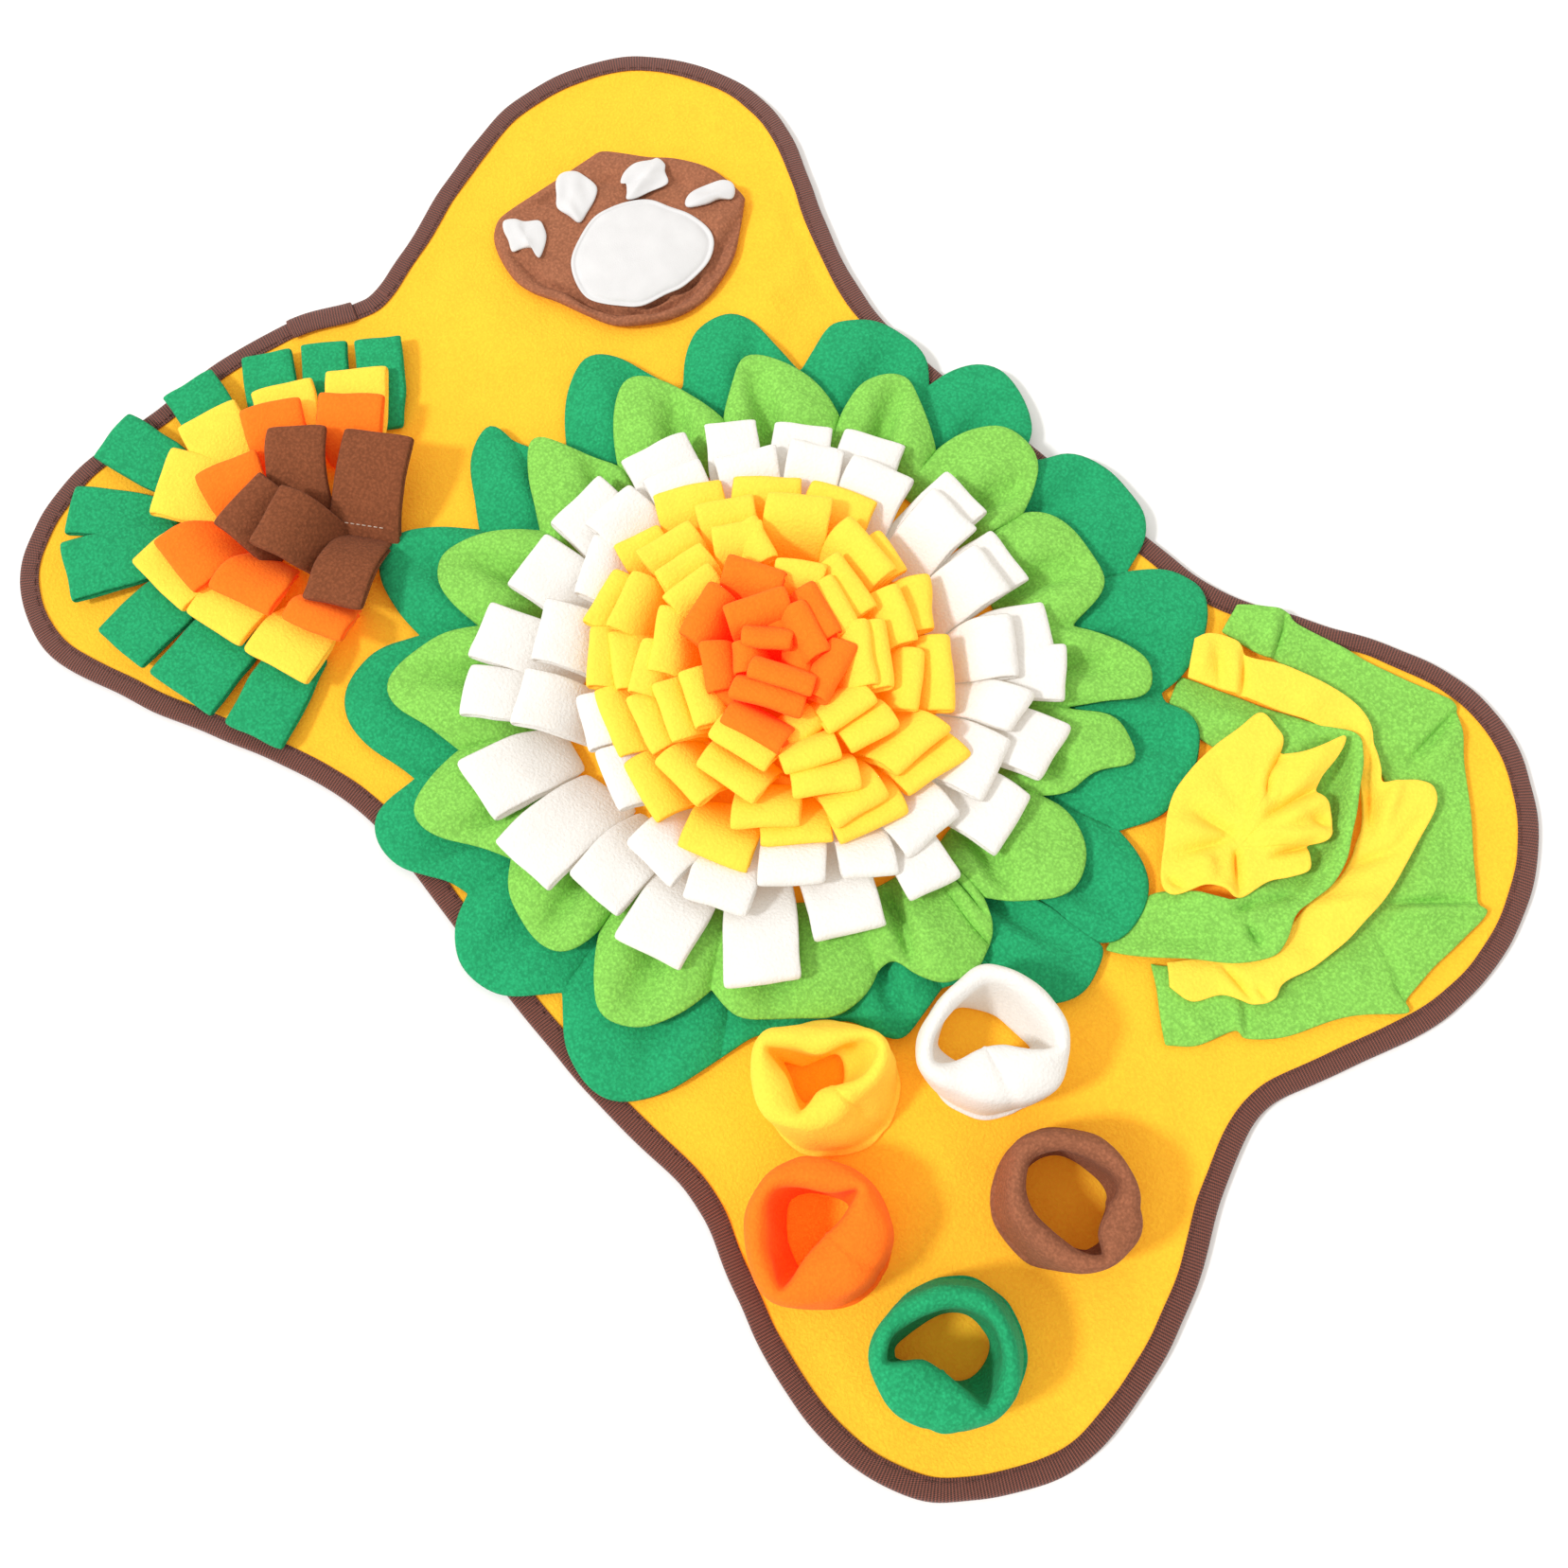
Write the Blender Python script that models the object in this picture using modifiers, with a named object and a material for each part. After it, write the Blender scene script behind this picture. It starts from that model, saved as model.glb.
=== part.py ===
"""A bone-shaped fleece snuffle mat: a bound base that carries a ruffled flower of
petals and loops, a corner fan of tabs, a pleated cabbage, a padded paw and five
soft treat cups. Run it from Blender's text editor or with
blender --background --python part.py. Tables are in millimetres.
"""

from collections import namedtuple
from math import atan2, cos, hypot, pi, radians, sin

import bmesh
import bpy
from mathutils import Vector

MM = 0.001
TITLE = "snuffle_mat"

# Cloth thicknesses and gaps, in millimetres.
BASE_THICK = 3.0
PETAL_THICK = 2.6
LOOP_THICK = 6.4  # a loop's two layers, closed up
FAN_THICK = 5.0
BAND_THICK = 3.0
GAP = 0.3
BASE_TOP = BASE_THICK + GAP

# The binding tape, folded double over the base's edge.
TAPE_THICK = 1.0
TAPE_WIDTH = 12.5
TAPE_LAP = (0.0, 20.0)  # how far past the left notch the lapped end runs
TAPE_HEIGHT = 2 * TAPE_THICK + BASE_THICK + 2 * GAP
EDGE_LIFT = TAPE_THICK + GAP

# Points read off the photograph lie on a level 20 mm up, seen from this eye.
EYE = Vector((236.0, -197.0, 885.0))
READ_LEVEL = 20.0

# Where the middle of the whole mat's box lies in the tables' coordinates.
BOX_MIDDLE = Vector((3.7, 1.0, 0.0))

COLOURS = {
    "fleece_amber": (1.0, 0.56, 0.03),
    "webbing_brown": (0.11, 0.03, 0.025),
    "fleece_dark_green": (0.012, 0.37, 0.16),
    "fleece_lime": (0.22, 0.75, 0.09),
    "fleece_white": (0.93, 0.93, 0.9),
    "fleece_yellow": (1.0, 0.75, 0.05),
    "fleece_orange": (1.0, 0.2, 0.02),
    "fleece_brown": (0.3, 0.11, 0.06),
}
ROUGHNESS = 0.95

Point = namedtuple("Point", "x y")
Petal = namedtuple("Petal", "tip_x tip_y notch_x notch_y")
Tab = namedtuple("Tab", "start_x start_y end_x end_y")
RootedTab = namedtuple("RootedTab", "start_x start_y end_x end_y root1_x root1_y root2_x root2_y")
Ring = namedtuple("Ring", "name colour tabs root reach height width turn")
Fan = namedtuple("Fan", "name colour root height tabs")
Fold = namedtuple("Fold", "outer_x outer_y outer_z inner_x inner_y inner_z")
Crumple = namedtuple("Crumple", "x y z")
Cup = namedtuple("Cup", "name colour foot_x foot_y rim_x rim_y mouth_long mouth_short mouth_turn")
Level = namedtuple("Level", "inset z")

# The base's outline, clockwise from the left notch.
OUTLINE = [
    Point(-371, 16), Point(-382, 55), Point(-400, 108), Point(-411, 165), Point(-403, 213),
    Point(-380, 253), Point(-343, 279), Point(-300, 290), Point(-255, 282), Point(-205, 256),
    Point(-150, 232), Point(-95, 223), Point(0, 225), Point(95, 227), Point(150, 231),
    Point(200, 252), Point(245, 273), Point(290, 285), Point(330, 280), Point(368, 255),
    Point(397, 215), Point(410, 165), Point(406, 115), Point(388, 66), Point(369, 14),
    Point(380, -33), Point(403, -85), Point(417, -140), Point(418, -186), Point(403, -223),
    Point(372, -260), Point(325, -276), Point(270, -271), Point(220, -254), Point(175, -239),
    Point(100, -240), Point(0, -232), Point(-100, -221), Point(-160, -231), Point(-215, -252),
    Point(-270, -273), Point(-326, -288), Point(-372, -275), Point(-400, -240), Point(-411, -195),
    Point(-407, -145), Point(-404, -85), Point(-392, -35), Point(-374, -2),
]
OUTLINE_STEPS = 2
BASE_FLAT_INSET = 19.0  # inward of here the base lies on the floor
BASE_SHARES = (0.78, 0.45)  # its inner rings, as shares of the outline

# The flower. Each petal is given by its tip and by the notch after it, anticlockwise.
FLOWER = Vector((0.0, 5.0, 0.0))
DARK_PETALS = [
    Petal(250, -10, 228, 2), Petal(247, 38, 208, 75), Petal(200, 150, 166, 182),
    Petal(140, 217, 102, 205), Petal(57, 237, 15, 205), Petal(-30, 242, -66, 205),
    Petal(-105, 215, -137, 175), Petal(-190, 145, -165, 108), Petal(-228, 72, -188, 28),
    Petal(-237, -8, -192, -54), Petal(-224, -98, -168, -124), Petal(-172, -175, -103, -188),
    Petal(-78, -228, -38, -211), Petal(5, -240, 48, -212), Petal(95, -236, 130, -176),
    Petal(158, -113, 150, -92), Petal(188, -98, 176, -68), Petal(203, -58, 195, -35),
]
LIME_PETALS = [
    Petal(211, 28, 172, 60), Petal(185, 113, 150, 125), Petal(160, 157, 108, 148),
    Petal(72, 192, 33, 178), Petal(5, 217, -28, 176), Petal(-75, 198, -88, 160),
    Petal(-157, 142, -137, 100), Petal(-198, 80, -162, 33), Petal(-214, 10, -160, -28),
    Petal(-194, -80, -147, -98), Petal(-158, -155, -99, -160), Petal(-85, -203, -28, -180),
    Petal(15, -201, 38, -175), Petal(75, -204, 107, -155), Petal(135, -150, 140, -115),
    Petal(168, -100, 150, -72), Petal(204, -42, 178, -9),
]
DARK_ROOT = 165.0
DARK_HEIGHT = 10.0
DARK_CREASE = -1.0
LIME_ROOT = 140.0
LIME_HEIGHT = 18.0
LIME_CREASE = 2.5
PETAL_TURNS = (0, 32, 60, 80)  # degrees round each petal's tip at which its edge has points
PETAL_RISE = (0.0, 0.55, 1.0, 1.03, 1.0, 0.92)  # each row's share of the petal's height
PETAL_TILT = 0.8  # how far a petal's one edge lies over the other
PETAL_SLIT = 2.4  # the slit between two petals

RINGS = [
    Ring("loops_white_outer", "fleece_white", 21, 112, 172, 30, 40, 4),
    Ring("loops_white_inner", "fleece_white", 20, 96, 154, 37, 38, 0),
    Ring("loops_yellow_1", "fleece_yellow", 18, 82, 121, 39, 36, 5),
    Ring("loops_yellow_2", "fleece_yellow", 15, 70, 104, 46, 36, 0),
    Ring("loops_yellow_3", "fleece_yellow", 13, 56, 88, 52, 35, 9),
    Ring("loops_yellow_4", "fleece_yellow", 11, 42, 72, 57, 33, 0),
    Ring("loops_orange_1", "fleece_orange", 8, 28, 54, 62, 34, 12),
    Ring("loops_orange_2", "fleece_orange", 5, 17, 34, 65, 32, 30),
    Ring("loops_orange_3", "fleece_orange", 3, 7, 14, 66, 16, 80),
]
# How far a loop's tip strays: out of its ring, up or down, and round, as a share of its room.
RING_STRAY_OUT = 4.0
RING_STRAY_UP = 2.0
RING_STRAY_ROUND = 0.12
RING_SLIT = 1.5  # the slit between two loops at their root
ROOT_SHARE = 0.8  # how much of its room a loop's root fills
TAB_STATIONS = (0.0, 0.33, 0.67, 1.0)
STRIP_WIDTH = 5.0  # the sewn-down root strip of every ring and fan

# The corner fan: each tab is given by the two corners of its tip.
FAN_POINT = Vector((-243.0, -119.0, 0.0))
FANS = [
    Fan("fan_green", "fleece_dark_green", 95, 10.6, [
        Tab(-323, 2, -341, -22), Tab(-344, -25, -362, -48), Tab(-366, -53, -383, -80),
        Tab(-391, -96, -396, -130), Tab(-405, -152, -397, -187), Tab(-390, -206, -370, -230),
        Tab(-367, -238, -331, -254), Tab(-309, -256, -268, -253), Tab(-264, -251, -217, -243),
        Tab(-208, -241, -171, -227),
    ]),
    Fan("fan_yellow", "fleece_yellow", 72, 18.0, [
        Tab(-312, -20, -337, -50), Tab(-345, -57, -361, -90), Tab(-362, -102, -375, -137),
        Tab(-366, -148, -348, -182), Tab(-325, -215, -283, -213), Tab(-279, -212, -238, -203),
        Tab(-233, -203, -192, -192),
    ]),
    Fan("fan_orange", "fleece_orange", 50, 25.5, [
        Tab(-300, -35, -329, -62), Tab(-333, -72, -356, -103), Tab(-328, -115, -343, -150),
        Tab(-327, -195, -284, -200), Tab(-272, -190, -240, -180), Tab(-234, -165, -200, -150),
    ]),
]
FAN_BROWN_BACK = [
    RootedTab(-264, -42, -300, -67, -226, -93, -249, -110),
    RootedTab(-309, -73, -334, -100, -254, -112, -264, -128),
    RootedTab(-316, -124, -309, -163, -267, -132, -264, -146),
]
FAN_BROWN_FRONT = [
    RootedTab(-300, -116, -286, -157, -249, -119, -243, -133),
    RootedTab(-235, -157, -203, -137, -238, -135, -224, -120),
]
BROWN_BACK_HEIGHT = 31.0
BROWN_FRONT_HEIGHT = 38.0

# The cabbage: pleated bands, a row for each fold along them.
CABBAGE_LIME_OUTER = [
    Fold(168, 224, 10, 172, 205, 9), Fold(190, 239, 10, 204, 206, 9),
    Fold(230, 244, 10, 235, 210, 7), Fold(260, 250, 9, 262, 212, 6),
    Fold(290, 262, 7.5, 286, 204, 5.2), Fold(303, 257, 7.5, 297, 200, 5.2),
    Fold(330, 232, 7, 312, 190, 5.2), Fold(358, 205, 7, 322, 172, 5.2),
    Fold(385, 178, 7, 333, 142, 5.2), Fold(381, 140, 7, 331, 128, 5.2),
    Fold(386, 103, 7, 328, 112, 5.2), Fold(365, 80, 7, 322, 88, 5.2),
    Fold(345, 45, 6, 306, 62, 5.2), Fold(330, 33, 6, 288, 46, 5.2),
    Fold(305, 1, 6, 264, 25, 5.2),
]
CABBAGE_YELLOW = [
    Fold(163, 189, 15, 175, 168, 14), Fold(183, 205, 15, 203, 181, 14),
    Fold(210, 215, 15, 225, 189, 13), Fold(250, 222, 14, 255, 200, 12),
    Fold(266, 218, 14, 268, 203, 11), Fold(285, 201, 13, 280, 191, 11),
    Fold(298, 196, 13, 292, 184, 11), Fold(307, 209, 14, 300, 176, 11),
    Fold(318, 215, 15, 306, 166, 11), Fold(328, 205, 15, 309, 154, 11),
    Fold(336, 165, 15, 311, 138, 10), Fold(338, 130, 15, 308, 112, 10),
    Fold(335, 90, 14, 305, 94, 10), Fold(326, 64, 13, 298, 72, 10),
    Fold(329, 56, 12, 295, 56, 9), Fold(296, 27, 9.5, 277, 34, 8.6),
]
CABBAGE_LIME_INNER = [
    Fold(172, 166, 5.2, 182, 140, 5.2), Fold(200, 176, 5.4, 208, 146, 5.4),
    Fold(225, 186, 7, 232, 150, 8), Fold(250, 197, 12, 246, 160, 14),
    Fold(268, 207, 18, 260, 165, 16), Fold(282, 190, 19, 272, 160, 16),
    Fold(300, 168, 20, 284, 148, 16), Fold(311, 148, 20, 290, 132, 16),
    Fold(312, 125, 19, 292, 115, 16), Fold(309, 104, 18, 285, 100, 16),
    Fold(314, 85, 17, 278, 86, 15), Fold(308, 68, 16, 264, 80, 14),
    Fold(290, 46, 16, 254, 70, 11), Fold(268, 28, 12.5, 244, 62, 7),
    Fold(250, 20, 5.6, 241, 52, 5.4),
]
CABBAGE_HEART = [
    Crumple(222, 182, 13.5), Crumple(238, 178, 17.5), Crumple(245, 170, 19.5), Crumple(252, 180, 20),
    Crumple(265, 204, 23), Crumple(270, 172, 21.5), Crumple(285, 165, 21.5), Crumple(295, 150, 23),
    Crumple(290, 140, 20), Crumple(297, 130, 22), Crumple(287, 115, 20), Crumple(280, 90, 18.6),
    Crumple(262, 88, 18), Crumple(250, 66, 15), Crumple(241, 72, 14), Crumple(228, 96, 14.2),
    Crumple(220, 120, 14.2), Crumple(218, 150, 14.2),
]
HEART_KNOT = Crumple(262, 112, 17)  # where the heart's creases meet

# The paw.
PAW_POUCH = [
    Point(-338, 185), Point(-300, 212), Point(-283, 224), Point(-258, 228), Point(-244, 224),
    Point(-232, 207), Point(-222, 190), Point(-212, 165), Point(-208, 148), Point(-212, 128),
    Point(-225, 110), Point(-240, 98), Point(-260, 92), Point(-285, 82), Point(-310, 81),
    Point(-330, 86), Point(-343, 97), Point(-348, 115), Point(-343, 150),
]
PAW_PAD = [
    Point(-304, 150), Point(-300, 168), Point(-289, 183), Point(-270, 190), Point(-254, 194),
    Point(-240, 192), Point(-230, 184), Point(-225, 165), Point(-226, 145), Point(-234, 122),
    Point(-246, 111), Point(-260, 104), Point(-274, 103), Point(-290, 111), Point(-299, 128),
]
PAW_TOES = [
    [Point(-273, 205), Point(-268, 221), Point(-258, 227), Point(-249, 220), Point(-257, 208),
     Point(-265, 195)],
    [Point(-313, 196), Point(-303, 208), Point(-288, 198), Point(-299, 176), Point(-309, 180)],
    [Point(-343, 154), Point(-336, 165), Point(-320, 165), Point(-309, 140), Point(-327, 136)],
    [Point(-344, 105), Point(-329, 121), Point(-317, 119), Point(-308, 104), Point(-324, 94)],
]
POUCH_LEVELS = [Level(2.5, BASE_TOP), Level(0.0, 6.5), Level(1.2, 10.0), Level(4.5, 12.0), Level(12, 12.0)]
PAD_LEVELS = [Level(1.0, 12.3), Level(0.0, 13.8), Level(2.0, 15.6), Level(12.0, 17.4)]
TOE_LEVELS = [Level(1.0, 12.3), Level(0.0, 13.6), Level(2.5, 15.6)]

# The cups: short tubes folded double, so each has a soft rim and no bottom.
CUPS = [
    Cup("cup_white", "fleece_white", 243, -68, 238, -64, 27, 13, 32),
    Cup("cup_yellow", "fleece_yellow", 195, -145, 176, -144, 26, 13, 62),
    Cup("cup_orange", "fleece_orange", 243, -203, 238, -206, 27, 14, 68),
    Cup("cup_brown", "fleece_brown", 320, -99, 324, -97, 28, 19, -20),
    Cup("cup_green", "fleece_dark_green", 331, -198, 330, -202, 27, 18, 62),
]
CUP_HEIGHT = 48.0
CUP_SIDES = 20
# The wall's section: share of the height, and distance from the middle. A mouth share says how
# far the inside follows the mouth rather than the round foot.
CUP_OUTSIDE = [(0.0, 34.0), (0.3, 36.0), (0.7, 38.5), (0.92, 38.0)]
CUP_RIM_TOP = 35.0
CUP_INSIDE_FOOT = 29.0
CUP_INSIDE = [(0.92, 1.0), (0.75, 0.95), (0.35, 0.5), (0.0, 0.0)]
MOUTH_PINCH = 0.08
CUP_UNEVEN = 0.02


def seen(x, y, z=READ_LEVEL):
    """A point read at the reading level, moved along its sight line to its own height."""
    read = Vector((x, y, READ_LEVEL))
    along = (EYE.z - z) / (EYE.z - READ_LEVEL)
    return EYE + (read - EYE) * along


def smooth_loop(points, steps):
    """A closed Catmull-Rom curve through the points, with this many steps to each."""
    count = len(points)
    curve = []
    for i in range(count):
        before, start, end, after = (points[(i + k) % count] for k in (-1, 0, 1, 2))
        for step in range(steps):
            t = step / steps
            curve.append(
                0.5 * (2 * start + (end - before) * t
                       + (2 * before - 5 * start + 4 * end - after) * t ** 2
                       + (3 * start - before - 3 * end + after) * t ** 3)
            )
    return curve


def inset_loop(points, distance):
    """The same closed loop, moved inward by the distance. The loop runs clockwise."""
    count = len(points)
    moved = []
    for i, point in enumerate(points):
        along = (points[(i + 1) % count] - points[i - 1]).normalized()
        moved.append(point + Vector((along.y, -along.x, 0)) * distance)
    return moved


def toward(point, middle, distance):
    """The point moved by the distance toward the middle, level with itself."""
    flat = Vector((middle.x - point.x, middle.y - point.y, 0))
    return point + flat.normalized() * min(distance, flat.length)


def make_material(name):
    material = bpy.data.materials.new(name)
    material.use_nodes = True
    shader = material.node_tree.nodes["Principled BSDF"]
    shader.inputs["Base Color"].default_value = (*COLOURS[name], 1.0)
    shader.inputs["Roughness"].default_value = ROUGHNESS
    shader.inputs["Metallic"].default_value = 0.0
    material.diffuse_color = (*COLOURS[name], 1.0)
    return material


def add_object(name, colour, points, faces, thickness=0.0, offset=0.0):
    """An object from points in millimetres. A thickness makes an open sheet solid."""
    mesh = bpy.data.meshes.new(name)
    mesh.from_pydata([(point - BOX_MIDDLE) * MM for point in points], [], faces)
    work = bmesh.new()
    work.from_mesh(mesh)
    bmesh.ops.recalc_face_normals(work, faces=work.faces)
    if thickness and sum(face.normal.z * face.calc_area() for face in work.faces) < 0:
        bmesh.ops.reverse_faces(work, faces=work.faces)
    work.to_mesh(mesh)
    work.free()
    mesh.shade_smooth()
    mesh.materials.append(bpy.data.materials[colour])
    obj = bpy.data.objects.new(name, mesh)
    bpy.data.collections[TITLE].objects.link(obj)
    obj.parent = bpy.data.objects[TITLE + "_origin"]
    if thickness:
        solidify = obj.modifiers.new("Cloth", "SOLIDIFY")
        solidify.thickness = thickness * MM
        solidify.offset = offset
    return obj


def loft(rings, closed_ends=True):
    """Points and faces of a skin over closed rings of one length, capped at both ends."""
    count = len(rings[0])
    points = [point for ring in rings for point in ring]
    faces = []
    joined = len(rings) - 1 if closed_ends else len(rings)
    for r in range(joined):
        low, high = r * count, (r + 1) % len(rings) * count
        for i in range(count):
            j = (i + 1) % count
            faces.append((low + i, low + j, high + j, high + i))
    if closed_ends:
        faces.append(tuple(range(count)))
        faces.append(tuple(range(len(points) - count, len(points))))
    return points, faces


def make_base(outline):
    """The base: a sheet that lies flat and rises a little into its binding."""
    lift = Vector((0, 0, EDGE_LIFT))
    rings = [
        [point + lift for point in inset_loop(outline, inset)]
        for inset in (TAPE_THICK + GAP, TAPE_WIDTH + GAP)
    ]
    rings.append(inset_loop(outline, BASE_FLAT_INSET))
    rings += [[point * share for point in outline] for share in BASE_SHARES]
    middle = Vector((0, 0, 0))
    count = len(outline)
    points = [point for ring in rings for point in ring] + [middle]
    faces = []
    for r in range(len(rings) - 1):
        for i in range(count):
            j = (i + 1) % count
            faces.append((r * count + i, r * count + j, (r + 1) * count + j, (r + 1) * count + i))
    last = (len(rings) - 1) * count
    faces += [(last + i, last + (i + 1) % count, len(points) - 1) for i in range(count)]
    add_object("base_mat", "fleece_amber", points, faces, BASE_THICK, offset=1.0)


def make_binding(outline):
    """The binding: a U of tape swept round the edge, thicker where its ends lap."""
    inner_low, inner_high = TAPE_THICK, TAPE_HEIGHT - TAPE_THICK
    section = [
        (TAPE_WIDTH, 0), (1.2, 0), (0, 1.4), (0, TAPE_HEIGHT - 1.4), (1.2, TAPE_HEIGHT),
        (TAPE_WIDTH, TAPE_HEIGHT), (TAPE_WIDTH, inner_high), (TAPE_THICK, inner_high),
        (TAPE_THICK, inner_low), (TAPE_WIDTH, inner_low),
    ]
    top = (4, 5)  # the section's points on the upper leg's top
    rings = []
    for i, point in enumerate(outline):
        along = (outline[(i + 1) % len(outline)] - outline[i - 1]).normalized()
        inward = Vector((along.y, -along.x, 0))
        from_notch = (outline[0] - point).y
        lapped = point.x < 0 and TAPE_LAP[0] <= from_notch <= TAPE_LAP[1]
        rings.append([
            point + inward * across + Vector((0, 0, z + (TAPE_THICK if lapped and k in top else 0)))
            for k, (across, z) in enumerate(section)
        ])
    add_object("edge_binding", "webbing_brown", *loft(rings, closed_ends=False))


def strip_with_tabs(name, colour, thickness, grids, strip_point, closed):
    """A strip whose outer edge grows tabs. Each grid holds a tab's rows, root first."""
    points = []
    faces = []
    outer = []
    for grid in grids:
        columns = len(grid[0])
        first = len(points)
        points += [point for row in grid for point in row]
        outer += list(range(first, first + columns))
        for r in range(len(grid) - 1):
            for c in range(columns - 1):
                corner = first + r * columns + c
                faces.append((corner, corner + 1, corner + columns + 1, corner + columns))
    inner = []
    for index in outer:
        inner.append(len(points))
        points.append(toward(points[index], strip_point, STRIP_WIDTH))
    steps = len(outer) if closed else len(outer) - 1
    for i in range(steps):
        j = (i + 1) % len(outer)
        faces.append((outer[i], outer[j], inner[j], inner[i]))
    add_object(name, colour, points, faces, thickness)


def rise(low, high, share):
    """The height of an arching tab, this share of the way from its root to its tip."""
    return low + (high - low) * (1 - (1 - share) ** 2)


def on_circle(middle, radius, point):
    """The point of a circle that lies in line with another point, at root height."""
    bearing = atan2(point.y - middle.y, point.x - middle.x)
    return Vector((middle.x + radius * cos(bearing), middle.y + radius * sin(bearing), 0))


def tab_grid(root_start, root_end, tip_start, tip_end, low, high):
    """Rows of two points from a tab's root to its tip."""
    grid = []
    for share in TAB_STATIONS:
        z = rise(low, high, share)
        row = [root_start.lerp(tip_start, share), root_end.lerp(tip_end, share)]
        grid.append([Vector((point.x, point.y, z)) for point in row])
    return grid


def petal_grid(middle, root, before, petal, thickness, height, crease):
    """Rows of three points from a petal's root to its rounded tip."""
    low = BASE_TOP + thickness / 2
    start = seen(before.notch_x, before.notch_y, height)
    end = seen(petal.notch_x, petal.notch_y, height)
    tip = seen(petal.tip_x, petal.tip_y, height)
    side = (end - start).normalized() * PETAL_SLIT / 2
    start, end = start + side, end - side
    root_start = on_circle(middle, root, start)
    root_end = on_circle(middle, root, end)
    centre = (start + end) / 2
    root_centre = (root_start + root_end) / 2
    rows = [[root_start, root_centre, root_end]]
    rows.append([(inner + outer) / 2 for inner, outer in zip(rows[0], (start, centre, end))])
    for turn in PETAL_TURNS:
        reach = centre + (tip - centre) * sin(radians(turn))
        half = (end - start) / 2 * cos(radians(turn))
        rows.append([reach - half, reach, reach + half])
    for row, share in zip(rows, PETAL_RISE):
        lifts = (0.0, -crease * share, PETAL_TILT * share)
        for point, lift in zip(row, lifts):
            point.z = low + (height - low) * share + lift
    return rows


def make_petals(name, colour, petals, root, height, crease):
    grids = [
        petal_grid(FLOWER, root, petals[i - 1], petal, PETAL_THICK, height, crease)
        for i, petal in enumerate(petals)
    ]
    strip_with_tabs(name, colour, PETAL_THICK, grids, FLOWER, closed=True)


def make_ring(ring):
    """A ring of folded loops that lean outward, each a little out of line."""
    low = BASE_TOP + LOOP_THICK / 2
    room = 2 * pi * ring.root / ring.tabs - RING_SLIT
    root_width = min(ring.width, room) * ROOT_SHARE
    grids = []
    for i in range(ring.tabs):
        round_by, out_by, up_by = sin(7.3 * i + ring.turn), sin(4.1 * i + ring.root), sin(5.7 * i)
        bearing = radians(ring.turn) + 2 * pi * (i + RING_STRAY_ROUND * round_by) / ring.tabs
        out = Vector((cos(bearing), sin(bearing), 0))
        across = Vector((-out.y, out.x, 0))
        root = FLOWER + out * ring.root
        tip = FLOWER + out * (ring.reach + RING_STRAY_OUT * out_by)
        grids.append(tab_grid(
            root - across * root_width / 2, root + across * root_width / 2,
            tip - across * ring.width / 2, tip + across * ring.width / 2,
            low, ring.height + RING_STRAY_UP * up_by,
        ))
    strip_with_tabs(ring.name, ring.colour, LOOP_THICK, grids, FLOWER, closed=True)


def make_fan(fan):
    low = BASE_TOP + FAN_THICK / 2
    grids = []
    for tab in fan.tabs:
        tip_start = seen(tab.start_x, tab.start_y, fan.height)
        tip_end = seen(tab.end_x, tab.end_y, fan.height)
        side = (tip_end - tip_start).normalized() * GAP
        root_start = on_circle(FAN_POINT, fan.root, tip_start) + 2 * side
        root_end = on_circle(FAN_POINT, fan.root, tip_end) - 2 * side
        grids.append(tab_grid(root_start, root_end, tip_start + side, tip_end - side, low, fan.height))
    strip_with_tabs(fan.name, fan.colour, FAN_THICK, grids, FAN_POINT, closed=False)


def make_brown_fan(name, tabs, height):
    low = BASE_TOP + FAN_THICK / 2
    grids = [
        tab_grid(
            seen(tab.root1_x, tab.root1_y, low), seen(tab.root2_x, tab.root2_y, low),
            seen(tab.start_x, tab.start_y, height), seen(tab.end_x, tab.end_y, height), low, height,
        )
        for tab in tabs
    ]
    strip_with_tabs(name, "fleece_brown", FAN_THICK, grids, FAN_POINT, closed=False)


def make_pleated_band(name, colour, folds):
    """A band of cloth through its folds, bowed up a little between its two edges."""
    points = []
    for fold in folds:
        outer = seen(fold.outer_x, fold.outer_y, fold.outer_z)
        inner = seen(fold.inner_x, fold.inner_y, fold.inner_z)
        points += [outer, (outer + inner) / 2 + Vector((0, 0, GAP)), inner]
    faces = []
    for r in range(len(folds) - 1):
        for c in range(2):
            corner = r * 3 + c
            faces.append((corner, corner + 1, corner + 4, corner + 3))
    add_object(name, colour, points, faces, BAND_THICK)


def make_heart():
    """The cabbage's heart: a flap whose creases run out from one knot."""
    rim = [seen(*corner) for corner in CABBAGE_HEART]
    knot = seen(*HEART_KNOT)
    half = [knot.lerp(point, 0.5) + Vector((0, 0, (-1) ** i)) for i, point in enumerate(rim)]
    count = len(rim)
    points = rim + half + [knot]
    faces = []
    for i in range(count):
        j = (i + 1) % count
        faces.append((i, j, count + j, count + i))
        faces.append((count + i, count + j, 2 * count))
    add_object("cabbage_heart", "fleece_yellow", points, faces, BAND_THICK)


def make_pillow(name, colour, outline, levels, steps):
    """A soft flat piece whose outline is drawn in toward its middle, level by level."""
    flat = smooth_loop([Vector((point.x, point.y, 0)) for point in outline], steps)
    middle = sum(flat, Vector()) / len(flat)
    rings = []
    for level in levels:
        ring = [toward(point, middle, level.inset) for point in flat]
        rings.append([seen(point.x, point.y, level.z) for point in ring])
    add_object(name, colour, *loft(rings))


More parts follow.
